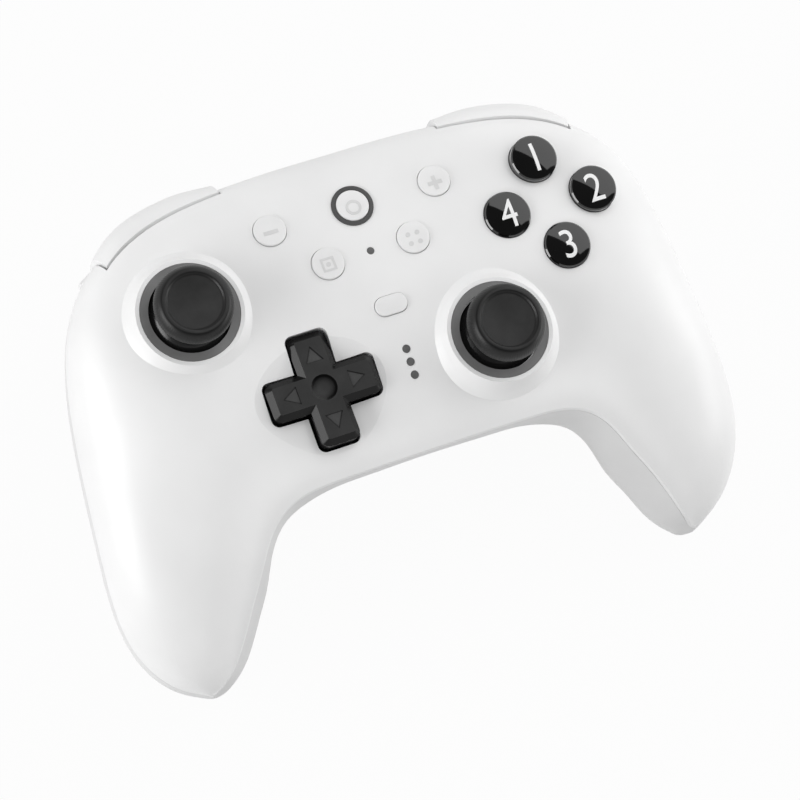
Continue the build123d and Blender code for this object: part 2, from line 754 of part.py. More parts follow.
def bumper_pocket(side):
    """The room that a bumper needs, cut right through both shells."""
    bulge = [[OVERRUN / 4 for _ in BUMPER_ROUND_SHARES] for _ in BUMPER_END_SHARES]
    return bumper_loft(side, bulge, BUMPER_SKIN + BUMPER_TRAVEL, BUMPER_GAP,
                       BUMPER_INNER_X - BUMPER_GAP, BUMPER_OUTER_X + BUMPER_END_GAP)


def front_shell():
    """The white front moulding."""
    shell = FRONT_BLOCK.cut(HOLLOW)
    inside = Part() + front_guides() + front_posts()
    shell = Part() + shell + [stick_mound(side) for side in STICKS]
    shell += inside & CORE
    shell -= front_cuts()
    shell -= [bumper_pocket(side) for side in (-1, 1)]
    shell -= usb_opening()
    return shell


def seam_y(x):
    """Where the outer seam lies at a distance from the middle."""
    return (OUTER_SEAM @ outer_station(x)).Y


def trigger_line(x, inset):
    """The finger surface of a trigger at one distance from the middle, top to tip."""
    across = (x - TRIGGER_INNER_X) / (TRIGGER_OUTER_X - TRIGGER_INNER_X)
    reach = (TRIGGER_REACH - seam_y(TRIGGER_INNER_X)) * (1 - TRIGGER_END_SHARE * across ** 2)
    tip = TRIGGER_TIP_Z + TRIGGER_TIP_LIFT * (2 * across - 1) ** TRIGGER_TIP_POWER
    height = TRIGGER_TOP - tip
    return [Vector(x, seam_y(x) + y * reach - inset, tip + z * height)
            for y, z in TRIGGER_SHARES]


def trigger_slice(x, inset):
    """Closed slice of a trigger between its finger surface and a line behind it."""
    line = trigger_line(x, inset)
    back = seam_y(x) - TRIGGER_ROOT_DEPTH - inset
    heel = Vector(x, line[-1].Y - TRIGGER_TIP_DEPTH, line[-1].Z)
    waist = Vector(x, back, TRIGGER_TOP - TRIGGER_ROOT_HEIGHT)
    nape = Vector(x, back, line[0].Z)
    return Wire([Edge.make_spline(line), Edge.make_line(line[-1], heel),
                 Edge.make_line(heel, waist), Edge.make_line(waist, nape),
                 Edge.make_line(nape, line[0])])


def trigger_block(inset, start_x, end_x):
    """The trigger's whole outer form, moved in by an inset."""
    places = [start_x + (end_x - start_x) * index / TRIGGER_STATIONS
              for index in range(TRIGGER_STATIONS + 1)]
    return Solid.make_loft([trigger_slice(x, inset) for x in places], False)


HINGE_LINE = Plane(origin=(0, TRIGGER_HINGE_Y, TRIGGER_HINGE_Z), x_dir=(0, 1, 0), z_dir=(1, 0, 0))


def trigger():
    """Right trigger: a curved finger plate, its root and the barrel of its hinge."""
    form = trigger_block(0, TRIGGER_INNER_X, TRIGGER_OUTER_X)
    room = trigger_block(TRIGGER_SKIN, TRIGGER_INNER_X + TRIGGER_ARM,
                         TRIGGER_OUTER_X - TRIGGER_ARM)
    body = Part() + form - room.moved(Location((0, 0, -TRIGGER_SKIN)))
    start = TRIGGER_INNER_X
    end = TRIGGER_INNER_X + TRIGGER_BARREL_LENGTH
    for low in (start, end - TRIGGER_ARM):
        body += block((low, low + TRIGGER_ARM), (TRIGGER_HINGE_Y, seam_y(end) - TRIGGER_SKIN / 2),
                      (TRIGGER_HINGE_Z - TRIGGER_BARREL_RADIUS, TRIGGER_TOP - TRIGGER_SKIN / 2))
    body += rod(HINGE_LINE, TRIGGER_BARREL_RADIUS, start, end)
    return body - rod(HINGE_LINE, TRIGGER_PIN_RADIUS + TRIGGER_PIN_FIT,
                      start - OVERRUN, end + OVERRUN)


def trigger_pin():
    """Steel pin through the trigger's barrel and the two walls that hold it."""
    return rod(HINGE_LINE, TRIGGER_PIN_RADIUS, TRIGGER_INNER_X - TRIGGER_SIDE_GAP - WALL,
               TRIGGER_EAR_X + TRIGGER_EAR_WIDTH)


def trigger_spring():
    """Return spring round the pin, wound as one open coil with two legs."""
    start = TRIGGER_INNER_X + TRIGGER_BARREL_LENGTH + SPRING_WIRE
    radius = TRIGGER_PIN_RADIUS + SPRING_WIRE + TRIGGER_SIDE_GAP / 2
    path = Helix(SPRING_PITCH, SPRING_PITCH * SPRING_TURNS, radius)
    wire = Plane(origin=path @ 0, z_dir=path % 0) * Circle(SPRING_WIRE / 2)
    coil = sweep(wire, path=path, is_frenet=True)
    return HINGE_LINE.offset(start).location * coil


def bumper():
    """Right bumper: a curved band with the lug that its pin passes through."""
    bulge = [[BUMPER_PROUD * along * across for across in BUMPER_ROUND_SHARES]
             for along in BUMPER_END_SHARES]
    band = bumper_loft(1, bulge, BUMPER_SKIN, 0, BUMPER_INNER_X, BUMPER_OUTER_X)
    plane = upright(BUMPER_PIN_X, BUMPER_PIN_Y, 0)
    lug = rod(plane, BUMPER_LUG_RADIUS, BUMPER_LUG_BOTTOM, BUMPER_LUG_TOP)
    web = block((BUMPER_PIN_X - BUMPER_LUG_RADIUS / 2, BUMPER_PIN_X + BUMPER_LUG_RADIUS),
                (BUMPER_PIN_Y, seam_y(BUMPER_PIN_X) - BUMPER_SKIN / 2),
                (BUMPER_LUG_BOTTOM, BUMPER_LUG_TOP))
    hole = rod(plane, BUMPER_PIN_RADIUS + BUMPER_PIN_FIT, 0, FACE_HEIGHT)
    return Part() + band + lug + web - hole


def bumper_pin():
    """Steel pin that the bumper turns on."""
    plane = upright(BUMPER_PIN_X, BUMPER_PIN_Y, 0)
    return rod(plane, BUMPER_PIN_RADIUS, BUMPER_LUG_BOTTOM - BUMPER_PIN_SEAT,
               BUMPER_LUG_TOP + BUMPER_PIN_SEAT)


def bumper_pin_holes():
    """Sockets for both bumper pins."""
    low = BUMPER_LUG_BOTTOM - BUMPER_PIN_SEAT
    high = BUMPER_LUG_TOP + BUMPER_PIN_SEAT
    return [rod(upright(side * BUMPER_PIN_X, BUMPER_PIN_Y, 0),
                BUMPER_PIN_RADIUS + BUMPER_PIN_FIT, low, high) for side in (-1, 1)]


def well_walls():
    """Walls round the room for the right trigger, and the ear for its pin."""
    inner = TRIGGER_INNER_X - TRIGGER_SIDE_GAP
    outer = TRIGGER_OUTER_X + TRIGGER_SIDE_GAP
    floor = (0, WELL_WALL_TOP)
    back = block((inner - WALL, outer + WALL), (WELL_WALL_Y - WALL, WELL_WALL_Y), floor)
    near = block((inner - WALL, inner), (WELL_WALL_Y, BODY_LENGTH), floor)
    far = block((outer, outer + WALL), (WELL_WALL_Y, BODY_LENGTH), floor)
    return [back, near, far]


def pin_ear():
    """Ear on the wall behind the trigger that holds the outer end of its pin."""
    across = (TRIGGER_EAR_X, TRIGGER_EAR_X + TRIGGER_EAR_WIDTH)
    along = (WELL_WALL_Y - WALL / 2, TRIGGER_HINGE_Y)
    up = (TRIGGER_HINGE_Z - TRIGGER_EAR_RADIUS, TRIGGER_HINGE_Z + TRIGGER_EAR_RADIUS)
    return [block(across, along, up), rod(HINGE_LINE, TRIGGER_EAR_RADIUS, *across)]


def trigger_room():
    """What is cut out of the rear shell for the right trigger."""
    inner = TRIGGER_INNER_X - TRIGGER_SIDE_GAP
    outer = TRIGGER_OUTER_X + TRIGGER_SIDE_GAP
    return block((inner - WELL_TRIM, outer + WELL_TRIM), (WELL_WALL_Y - WELL_TRIM, BODY_LENGTH),
                 (-OVERRUN, BUMPER_BOTTOM))


def tray_posts():
    """Posts under the left end of the battery tray."""
    return [rod(upright(2 * TRAY_POST_RADIUS - BATTERY_LENGTH / 2,
                        BATTERY_Y + y * (BATTERY_WIDTH / 2 - 2 * TRAY_POST_RADIUS), 0),
                TRAY_POST_RADIUS, 0, TRAY_SEAT) for y in (-1, 1)]


def rear_posts():
    """Bosses and cradles that stand up inside the left half of the rear shell."""
    parts = tray_posts() + [mirrored(shape) for shape in well_walls()]
    cradle = MOTOR_RADIUS + MOTOR_FIT + MOTOR_CRADLE_WALL
    parts.append(rod(upright(-MOTOR_X, MOTOR_Y, 0), cradle, 0, MOTOR_SEAT + MOTOR_CRADLE_HEIGHT))
    pin = upright(-BUMPER_PIN_X, BUMPER_PIN_Y, 0)
    parts.append(rod(pin, BUMPER_LUG_RADIUS, 0, BUMPER_LUG_BOTTOM - BUMPER_GAP))
    for x, y, meeting in case_screw_places():
        if x < 0:
            seat = back_height(x, y) + CASE_SCREW_RECESS + CASE_RECESS_WALL
            wide = CASE_SCREW_HEAD_RADIUS + 2 * CASE_RECESS_WALL
            parts.append(rod(upright(x, y, 0), CASE_BOSS_RADIUS, 0, meeting))
            parts.append(rod(upright(x, y, 0), wide, 0, seat))
    return parts


def rear_cuts():
    """Everything that is bored through the rear shell."""
    cuts = bumper_pin_holes()
    for side in (-1, 1):
        motor = upright(side * MOTOR_X, MOTOR_Y, 0)
        cuts.append(rod(motor, MOTOR_RADIUS + MOTOR_FIT, MOTOR_SEAT, FACE_HEIGHT))
    for x, y, meeting in case_screw_places():
        seat = back_height(x, y) + CASE_SCREW_RECESS
        plane = upright(x, y, 0)
        cuts.append(rod(plane, CASE_SCREW_HEAD_RADIUS + BUTTON_FIT, -OVERRUN, seat))
        cuts.append(rod(plane, CASE_SCREW_RADIUS + SCREW_FIT, 0, meeting + WALL))
    cuts.append(usb_opening())
    return cuts


def rest_pad():
    """Flat pad in the middle of the back, where a clip or a stand can take hold."""
    low = back_height(REST_PAD_LENGTH / 2, REST_PAD_Y + REST_PAD_WIDTH / 2) - REST_PAD_RISE
    pad = plate(upright(0, REST_PAD_Y, low), RectangleRounded(REST_PAD_LENGTH, REST_PAD_WIDTH,
                                                              REST_PAD_CORNER), 0, WALL)
    return pad


def rear_shell():
    """The rear moulding with its bosses and the rooms for the triggers."""
    rooms = [trigger_room(), mirrored(trigger_room())]
    rooms += [bumper_pocket(side) for side in (-1, 1)]
    shell = Part() + REAR_BLOCK.cut(HOLLOW) - rooms
    for post in rear_posts():
        trimmed = ((Part() + post) & CORE) - rooms
        shell += trimmed
        shell += mirrored(trimmed)
    ears = Part() + pin_ear()
    shell += [ears, mirrored(ears)]
    reach = TRIGGER_EAR_X + TRIGGER_EAR_WIDTH
    start = TRIGGER_INNER_X - TRIGGER_SIDE_GAP - WALL
    bore = rod(HINGE_LINE, TRIGGER_PIN_RADIUS + TRIGGER_PIN_FIT, start, reach)
    shell -= [bore, mirrored(bore)]
    shell -= rear_cuts()
    shell += rest_pad()
    return shell


def stick_parts(side):
    """Everything that one stick is made of, by name."""
    plane, rise = STICKS[side]
    top = STICK_PIVOT_DEPTH + rise
    cap_top = top + CAP_HEIGHT
    ring = tube(plane, RING_OUTER_RADIUS, RING_INNER_RADIUS, top - RING_THICKNESS, top)
    ring = Part() + ring - plane.location * Solid.make_sphere(SWEEP_RADIUS)
    bore = SHAFT_RADIUS + SHAFT_FIT
    parts = {
        "ring": ring,
        "cap": stick_cap(plane, cap_top),
        "dome": stick_dome(plane),
        "shaft": rod(plane, SHAFT_RADIUS, -SHAFT_TAIL, cap_top - CAP_CROWN - SHAFT_FIT),
        "outer_gimbal": outer_gimbal(plane),
        "inner_gimbal": inner_gimbal(plane, bore),
        "housing": stick_housing(plane)}
    return {side + "_stick_" + name: solid for name, solid in parts.items()}


def stick_cap(plane, top):
    """Rubber cap: a dished disc with a raised ring, a wide skirt and a short neck."""
    neck = DOME_RADIUS + DOME_COLLAR_HEIGHT + SHAFT_FIT
    skirt = top - CAP_SKIRT_DROP
    lip = CAP_RADIUS - CAP_RIDGE_RADIUS
    ball = cap_radius(CAP_DISC_RADIUS, CAP_DISH_DEPTH)
    outline = [(SHAFT_RADIUS, neck), (CAP_STEM_RADIUS, neck),
               (CAP_RADIUS - lip, skirt - CAP_SKIRT_HEIGHT), (CAP_RADIUS, skirt),
               (CAP_RADIUS - lip / 4, top - lip), (CAP_RIDGE_RADIUS + lip / 4, top - lip / 8),
               (CAP_RIDGE_RADIUS - lip / 4, top), (CAP_DISC_RADIUS, top - lip / 3),
               (0, top - lip / 3), (0, top - CAP_CROWN), (SHAFT_RADIUS, top - CAP_CROWN)]
    body = turned(plane, outline)
    dish = plane.offset(top - lip / 3 + ball - CAP_DISH_DEPTH).location * Solid.make_sphere(ball)
    knob = Part() + body
    knob -= dish & rod(plane, CAP_DISC_RADIUS, top - CAP_CROWN, top)
    return knob


def stick_dome(plane):
    """Thin dome that hides the hole at every tilt, with a collar round the shaft."""
    inner = DOME_RADIUS - DOME_WALL
    top = DOME_RADIUS + DOME_COLLAR_HEIGHT
    start = math.degrees(math.asin(DOME_COLLAR_RADIUS / DOME_RADIUS))
    inner_start = math.degrees(math.asin(SHAFT_RADIUS / inner))
    outer_arc = arc(on_ball(DOME_RADIUS, start), on_ball(DOME_RADIUS, DOME_OPEN_ANGLE / 2),
                    on_ball(DOME_RADIUS, DOME_OPEN_ANGLE))
    inner_arc = arc(on_ball(inner, DOME_OPEN_ANGLE), on_ball(inner, DOME_OPEN_ANGLE / 2),
                    on_ball(inner, inner_start))
    lip = lines([on_ball(DOME_RADIUS, DOME_OPEN_ANGLE), on_ball(inner, DOME_OPEN_ANGLE)])
    collar = lines([on_ball(inner, inner_start), (SHAFT_RADIUS, top), (DOME_COLLAR_RADIUS, top),
                    on_ball(DOME_RADIUS, start)])
    return turned_edges(plane, [outer_arc] + lip + [inner_arc] + collar)


def on_ball(radius, angle):
    """Radius and height of a point on a ball, at an angle from its top."""
    turn = math.radians(angle)
    return (radius * math.sin(turn), radius * math.cos(turn))


def across_rod(plane, along_y, radius, low, high):
    """A rod through a stick's pivot, level, along X or along Y."""
    direction = (0, 1, 0) if along_y else (1, 0, 0)
    line = Plane(origin=plane.origin, x_dir=(0, 0, 1), z_dir=direction)
    return rod(line, radius, low, high)


def outer_gimbal(plane):
    """Ring that tilts fore and aft on two axles along X."""
    half = YOKE_HEIGHT / 2
    ring = Part() + tube(plane, YOKE_OUTER_RADIUS, YOKE_INNER_RADIUS, -half, half)
    reach = HOUSING_WIDTH / 2
    for low, high in ((YOKE_INNER_RADIUS + YOKE_AXLE_FIT, reach), (-reach, -YOKE_INNER_RADIUS - YOKE_AXLE_FIT)):
        ring += across_rod(plane, False, YOKE_AXLE_RADIUS, low, high)
    ring -= across_rod(plane, True, YOKE_AXLE_RADIUS + YOKE_AXLE_FIT, -reach, reach)
    return ring


def inner_gimbal(plane, bore):
    """Block that tilts sideways inside the ring and guides the shaft."""
    half = YOKE_HEIGHT / 2
    core = Part() + rod(plane, YOKE_CORE_RADIUS, -half, half)
    core += across_rod(plane, True, YOKE_AXLE_RADIUS, -YOKE_OUTER_RADIUS, YOKE_OUTER_RADIUS)
    return core - rod(plane, bore, -FACE_HEIGHT, FACE_HEIGHT)


def stick_housing(plane):
    """Open box on the board that carries the outer axles."""
    base = BOARD_TOP - plane.origin.Z
    outline = chamfer(Rectangle(HOUSING_WIDTH, HOUSING_WIDTH).vertices(), HOUSING_CORNER)
    inside = offset(outline, -HOUSING_WALL)
    box = Part() + plate(plane, outline, base, HOUSING_RISE)
    box -= plate(plane, inside, base + HOUSING_BASE, HOUSING_RISE + WALL)
    box -= across_rod(plane, False, YOKE_AXLE_RADIUS + YOKE_AXLE_FIT, -HOUSING_WIDTH, HOUSING_WIDTH)
    return box


def dpad_cross():
    """Direction pad: a bevelled cross with a dimple, arrows and a flange under the face."""
    length = DPAD_HOLE_LENGTH - DPAD_TILT_CLEARANCE
    width = DPAD_HOLE_WIDTH - DPAD_TILT_CLEARANCE
    low = -DPAD_WELL_DEPTH - DPAD_FLANGE_GAP - DPAD_FLANGE_HEIGHT
    body = Part() + plate(DPAD, cross(length, width, DPAD_CORNER), low, DPAD_RISE)
    rim = body.faces().sort_by(Axis.Z)[-1].outer_wire().edges()
    body = chamfer(rim, DPAD_BEVEL)
    flange = cross(length + DPAD_FLANGE_WIDTH, width + DPAD_FLANGE_WIDTH, DPAD_CORNER)
    body += plate(DPAD, flange, low, low + DPAD_FLANGE_HEIGHT)
    ball = cap_radius(DPAD_DIMPLE_RADIUS, DPAD_DIMPLE_DEPTH)
    body -= DPAD.offset(DPAD_RISE + ball - DPAD_DIMPLE_DEPTH).location * Solid.make_sphere(ball)
    tip = length - DPAD_BEVEL - ARROW_INSET
    arrow = Polygon((tip, 0), (tip - ARROW_LENGTH, ARROW_WIDTH / 2),
                    (tip - ARROW_LENGTH, -ARROW_WIDTH / 2), align=None)
    for quarter in range(4):
        turned_arrow = Rot(0, 0, quarter * 90) * arrow
        body -= plate(DPAD, turned_arrow, DPAD_RISE - ARROW_DEPTH, DPAD_RISE + WALL)
    socket = DPAD_BALL_RADIUS + DPAD_BALL_FIT
    body -= DPAD.offset(-DPAD_PIVOT_DEPTH).location * Solid.make_sphere(socket)
    return body


def dpad_pivot():
    """Ball that the direction pad rocks on."""
    return DPAD.offset(-DPAD_PIVOT_DEPTH).location * Solid.make_sphere(DPAD_BALL_RADIUS)


def dpad_post():
    """Post on the board with a cup for the ball."""
    high = -DPAD_PIVOT_DEPTH - DPAD_CUP_DEPTH
    post = Part() + rod(DPAD, DPAD_POST_RADIUS, BOARD_TOP - FACE_HEIGHT, high)
    socket = DPAD_BALL_RADIUS + DPAD_BALL_FIT
    return post - DPAD.offset(-DPAD_PIVOT_DEPTH).location * Solid.make_sphere(socket)


def membrane(centre, spread, dome_top, hole):
    """Silicone disc on the board with four hollow domes."""
    plane = upright(centre.origin.X, centre.origin.Y, BOARD_TOP)
    reach = spread + MEMBRANE_DOME_RADIUS + MEMBRANE_MARGIN
    sheet = Part() + rod(plane, reach, 0, MEMBRANE_SHEET)
    height = dome_top - BOARD_TOP
    skin = MEMBRANE_SHEET / 2
    for across, along in FACE_BUTTONS.values():
        spot = plane.location * Location((across * spread, along * spread, 0))
        sheet += spot * Solid.make_cone(MEMBRANE_DOME_RADIUS, MEMBRANE_DOME_TOP_RADIUS, height)
        sheet -= spot * Solid.make_cone(MEMBRANE_DOME_RADIUS - skin,
                                        MEMBRANE_DOME_TOP_RADIUS - skin, height - skin)
    return sheet - rod(plane, hole, -WALL, height + WALL) if hole else sheet


def arc(start, middle, end):
    """An arc through three points of a turned outline."""
    spots = [Vector(radius, 0, height) for radius, height in (start, middle, end)]
    return Edge.make_three_point_arc(*spots)


def lines(points):
    """Straight edges through the points of a turned outline."""
    spots = [Vector(radius, 0, height) for radius, height in points]
    return [Edge.make_line(first, second) for first, second in zip(spots, spots[1:])]


def turned_edges(plane, edges):
    """Turns a closed outline of edges round a plane's Z."""
    return plane.location * Solid.revolve(Face(Wire(edges)), 360, Axis.Z)


def face_button(name):
    """Round button with a domed top and a flange that stops under its guide."""
    flange_top = -FACE_BUTTON_GUIDE_DEPTH - FLANGE_GAP
    foot = flange_top - FLANGE_HEIGHT
    flange = FACE_BUTTON_RADIUS + FLANGE_WIDTH
    rim = FACE_BUTTON_RISE - FACE_BUTTON_DOME
    crown = FACE_BUTTON_RADIUS - FACE_BUTTON_BEVEL
    outline = [(0, FACE_BUTTON_RISE), (0, foot), (flange, foot), (flange, flange_top),
               (FACE_BUTTON_RADIUS, flange_top), (FACE_BUTTON_RADIUS, rim - FACE_BUTTON_BEVEL),
               (crown, rim)]
    ball = cap_radius(crown, FACE_BUTTON_DOME)
    halfway = FACE_BUTTON_RISE - ball + math.sqrt(ball ** 2 - (crown / 2) ** 2)
    dome = arc((crown, rim), (crown / 2, halfway), (0, FACE_BUTTON_RISE))
    return turned_edges(face_button_plane(name), lines(outline) + [dome])


FACE_BUTTON_FOOT = FACE_HEIGHT - FACE_BUTTON_GUIDE_DEPTH - FLANGE_GAP - FLANGE_HEIGHT


def stem_length(plane):
    """How far a small button reaches below the face to its switch."""
    drop = (plane.origin.Z - BOARD_TOP - SWITCH_HEIGHT) / plane.z_dir.Z
    return drop - SMALL_BUTTON_TRAVEL - FLANGE_GAP


def small_button(name):
    """Flat button with a softened rim, a flange and a stem to its switch."""
    plane = SMALL_BUTTONS[name]
    flange_top = -SMALL_BUTTON_GUIDE_DEPTH - FLANGE_GAP
    body = Part() + plate(plane, small_outline(name, 0), flange_top, SMALL_BUTTON_RISE)
    rim = body.faces().sort_by(Axis(plane.origin, plane.z_dir))[-1].edges()
    body = fillet(rim, SMALL_BUTTON_EDGE)
    body += plate(plane, small_outline(name, FLANGE_WIDTH), flange_top - FLANGE_HEIGHT, flange_top)
    return body + rod(plane, SMALL_STEM_RADIUS, -stem_length(plane), flange_top)


def home_ring():
    """Dark ring set into the face round the home button."""
    return tube(SMALL_BUTTONS["home"], SMALL_BUTTON_RADIUS + HOME_RING_WIDTH,
                SMALL_BUTTON_RADIUS + BUTTON_FIT, -HOME_RING_DEPTH, HOME_RING_RISE)


def button_switches():
    """Small switches on the board under the small buttons."""
    parts = []
    for plane in SMALL_BUTTONS.values():
        spot = plane.origin - plane.z_dir * ((plane.origin.Z - BOARD_TOP) / plane.z_dir.Z)
        half = SWITCH_WIDTH / 2
        parts.append(block((spot.X - half, spot.X + half), (spot.Y - half, spot.Y + half),
                           (BOARD_TOP, BOARD_TOP + SWITCH_HEIGHT)))
    return Compound(children=parts)


def light_rods(places):
    """Clear rods that carry light from the board to the face."""
    parts = []
    for x, y, radius in places:
        top = hit(FRONT_BLOCK, x, y, True)[0].Z + LIGHT_RISE
        parts.append(rod(upright(x, y, 0), radius, BOARD_TOP, top))
    return parts


def main_board():
    """Circuit board with holes for its screws."""
    half = [(0, BOARD_BACK_Y), (BOARD_TAB_X, BOARD_BACK_Y), (BOARD_TAB_X, BOARD_TAB_Y),
            (BOARD_TAB_X + BOARD_TAB_WIDTH, BOARD_TAB_Y - BOARD_TAB_SLOPE),
            (BOARD_HALF_WIDTH, OUTER_CONTROL_Y), (BOARD_HALF_WIDTH, BOARD_WAIST_Y),
            (BOARD_FOOT_X, BOARD_FRONT_Y), (0, BOARD_FRONT_Y)]
    other = [(-x, y) for x, y in reversed(half[1:-1])]
    outline = Polygon(*half, *other, align=None)
    tongue = Rectangle(BOARD_TONGUE_WIDTH, 2 * BOARD_TONGUE_Y)
    outline = outline + (tongue & Pos(0, BODY_LENGTH / 2, 0) * Rectangle(BODY_LENGTH, BODY_LENGTH))
    board = Part() + plate(upright(0, 0, BOARD_TOP - BOARD_THICKNESS), outline, 0,
                           BOARD_THICKNESS)
    for x, y in board_screw_places():
        board -= rod(upright(x, y, 0), BOARD_SCREW_RADIUS + BUTTON_FIT, 0, FACE_HEIGHT)
    return board


def usb_port():
    """Metal shell of the inlet with its tongue."""
    shell = Part() + plate(USB_PLANE, usb_shape(0), -USB_DEPTH, 0)
    shell -= plate(USB_PLANE, usb_shape(-USB_WALL), -USB_DEPTH + USB_WALL, WALL)
    tongue = Rectangle(USB_WIDTH - USB_HEIGHT, USB_TONGUE_HEIGHT)
    return shell + plate(USB_PLANE, tongue, -USB_DEPTH + USB_WALL / 2, -USB_INSET)


def battery():
    """Flat cell with rounded edges."""
    low = TRAY_SEAT + TRAY_FLOOR
    plane = upright(0, BATTERY_Y, low)
    cell = plate(plane, RectangleRounded(BATTERY_LENGTH, BATTERY_WIDTH, BATTERY_EDGE), 0,
                 BATTERY_HEIGHT)
    return fillet(cell.edges().group_by(Axis.Z)[-1], BATTERY_EDGE / 2)


def battery_tray():
    """Tray that holds the battery over the floor of the rear shell."""
    plane = upright(0, BATTERY_Y, TRAY_SEAT)
    room = BATTERY_LENGTH + 2 * BATTERY_FIT, BATTERY_WIDTH + 2 * BATTERY_FIT
    outside = RectangleRounded(room[0] + 2 * TRAY_WALL, room[1] + 2 * TRAY_WALL,
                               BATTERY_EDGE + TRAY_WALL)
    tray = Part() + plate(plane, outside, 0, TRAY_RIM)
    return tray - plate(plane, RectangleRounded(*room, BATTERY_EDGE), TRAY_FLOOR, TRAY_RIM + WALL)


def rumble_motor():
    """Right motor: a round can with its shaft."""
    plane = upright(MOTOR_X, MOTOR_Y, MOTOR_SEAT)
    can = Part() + rod(plane, MOTOR_RADIUS, 0, MOTOR_HEIGHT)
    can = fillet(can.edges().group_by(Axis.Z)[-1], MOTOR_EDGE)
    return can + rod(plane, MOTOR_SHAFT_RADIUS, 0, MOTOR_HEIGHT + WEIGHT_GAP + WEIGHT_HEIGHT)


def rumble_weight():
    """Right eccentric weight: half a disc on a hub."""
    plane = upright(MOTOR_X, MOTOR_Y, MOTOR_SEAT + MOTOR_HEIGHT + WEIGHT_GAP)
    disc = Part() + rod(plane, WEIGHT_RADIUS, 0, WEIGHT_HEIGHT)
    half = block((0, BODY_LENGTH), (-BODY_LENGTH, BODY_LENGTH), (0, FACE_HEIGHT))
    disc = disc & half.moved(Location((MOTOR_X, 0, 0)))
    disc += rod(plane, WEIGHT_HUB_RADIUS, 0, WEIGHT_HEIGHT)
    return disc - rod(plane, MOTOR_SHAFT_RADIUS + SCREW_FIT, -WALL, WEIGHT_HEIGHT + WALL)


def bumper_switches():
    """Switches on the board's tabs that the bumpers press."""
    start = BOARD_TAB_X + (BOARD_TAB_WIDTH - BUMPER_SWITCH_WIDTH) / 2
    one = block((start, start + BUMPER_SWITCH_WIDTH), (BUMPER_SWITCH_Y - BUMPER_SWITCH_DEPTH,
                                                       BUMPER_SWITCH_Y),
                (BOARD_TOP, BOARD_TOP + BUMPER_SWITCH_HEIGHT))
    return Compound(children=[one, mirrored(one)])


def screw(plane, radius, head_radius, head_height, length):
    """A pan head screw that points up, with a driver slot in its head."""
    body = Part() + rod(plane, head_radius, -head_height, 0)
    body = chamfer(body.edges().group_by(Axis.Z)[0], head_height / 4)
    body += rod(plane, radius, 0, length)
    slot = Rectangle(head_radius * 2, head_radius / 3)
    return body - plate(plane, slot, -2 * head_height, -head_height * 0.6)


def board_screws():
    """Screws that hold the board to the front shell."""
    low = BOARD_TOP - BOARD_THICKNESS
    return [screw(upright(x, y, low), BOARD_SCREW_RADIUS, BOARD_SCREW_HEAD_RADIUS,
                  BOARD_SCREW_HEAD_HEIGHT, BOARD_THICKNESS + BOARD_SCREW_LENGTH - WALL / 2)
            for x, y in board_screw_places()]


def case_screws():
    """Screws that hold the two shells together."""
    parts = []
    for x, y, meeting in case_screw_places():
        seat = back_height(x, y) + CASE_SCREW_RECESS
        parts.append(screw(upright(x, y, seat), CASE_SCREW_RADIUS, CASE_SCREW_HEAD_RADIUS,
                           CASE_SCREW_HEAD_HEIGHT, meeting - seat + CASE_SCREW_ENGAGE - WALL / 2))
    return parts


def both_sides(name, solid):
    """A piece and its mirror image, named for the sides."""
    return {"right_" + name: solid, "left_" + name: mirrored(solid)}


def build_nodes():
    """Every piece of the controller by its node's name."""
    dpad_foot = FACE_HEIGHT - DPAD_WELL_DEPTH - DPAD_FLANGE_GAP - DPAD_FLANGE_HEIGHT
    nodes = {"front_shell": front_shell(), "rear_shell": rear_shell()}
    nodes.update(both_sides("bumper", bumper()))
    nodes.update(both_sides("bumper_pin", bumper_pin()))
    nodes.update(both_sides("trigger", trigger()))
    nodes.update(both_sides("trigger_pin", trigger_pin()))
    nodes.update(both_sides("trigger_spring", trigger_spring()))
    nodes.update(both_sides("rumble_motor", rumble_motor()))
    nodes.update(both_sides("rumble_weight", rumble_weight()))
    for side in STICKS:
        nodes.update(stick_parts(side))
    nodes["dpad_cross"] = dpad_cross()
    nodes["dpad_pivot"] = dpad_pivot()
    nodes["dpad_post"] = dpad_post()
    nodes["dpad_membrane"] = membrane(DPAD, DPAD_DOME_SPREAD, dpad_foot - DPAD_PRESS - PRESS_GAP,
                                      DPAD_POST_RADIUS + FLANGE_GAP)
    centre = upright(OUTER_CONTROL_X, OUTER_CONTROL_Y, FACE_HEIGHT)
    nodes["face_button_membrane"] = membrane(
        centre, FACE_BUTTON_SPREAD, FACE_BUTTON_FOOT - FACE_BUTTON_TRAVEL - PRESS_GAP, 0)
    for name in FACE_BUTTONS:
        nodes["face_button_" + name] = face_button(name)
    for name in SMALL_BUTTONS:
        nodes[name + "_button"] = small_button(name)
    nodes["home_ring"] = home_ring()
    nodes["button_switches"] = button_switches()
    lights = light_rods(light_places())
    nodes["status_light"] = lights[0]
    nodes["indicator_lights"] = Compound(children=lights[1:])
    nodes["main_board"] = main_board()
    nodes["usb_port"] = usb_port()
    nodes["battery"] = battery()
    nodes["battery_tray"] = battery_tray()
    nodes["bumper_switches"] = bumper_switches()
    nodes["board_screws"] = Compound(children=board_screws())
    nodes["case_screws"] = Compound(children=case_screws())
    return nodes


def resting_place(shapes):
    """The move that puts the middle of the whole pad over the origin, resting on Z = 0."""
    boxes = [shape.bounding_box() for shape in shapes]
    across = min(box.min.X for box in boxes) + max(box.max.X for box in boxes)
    along = min(box.min.Y for box in boxes) + max(box.max.Y for box in boxes)
    return Location((-across / 2, -along / 2, -min(box.min.Z for box in boxes)))


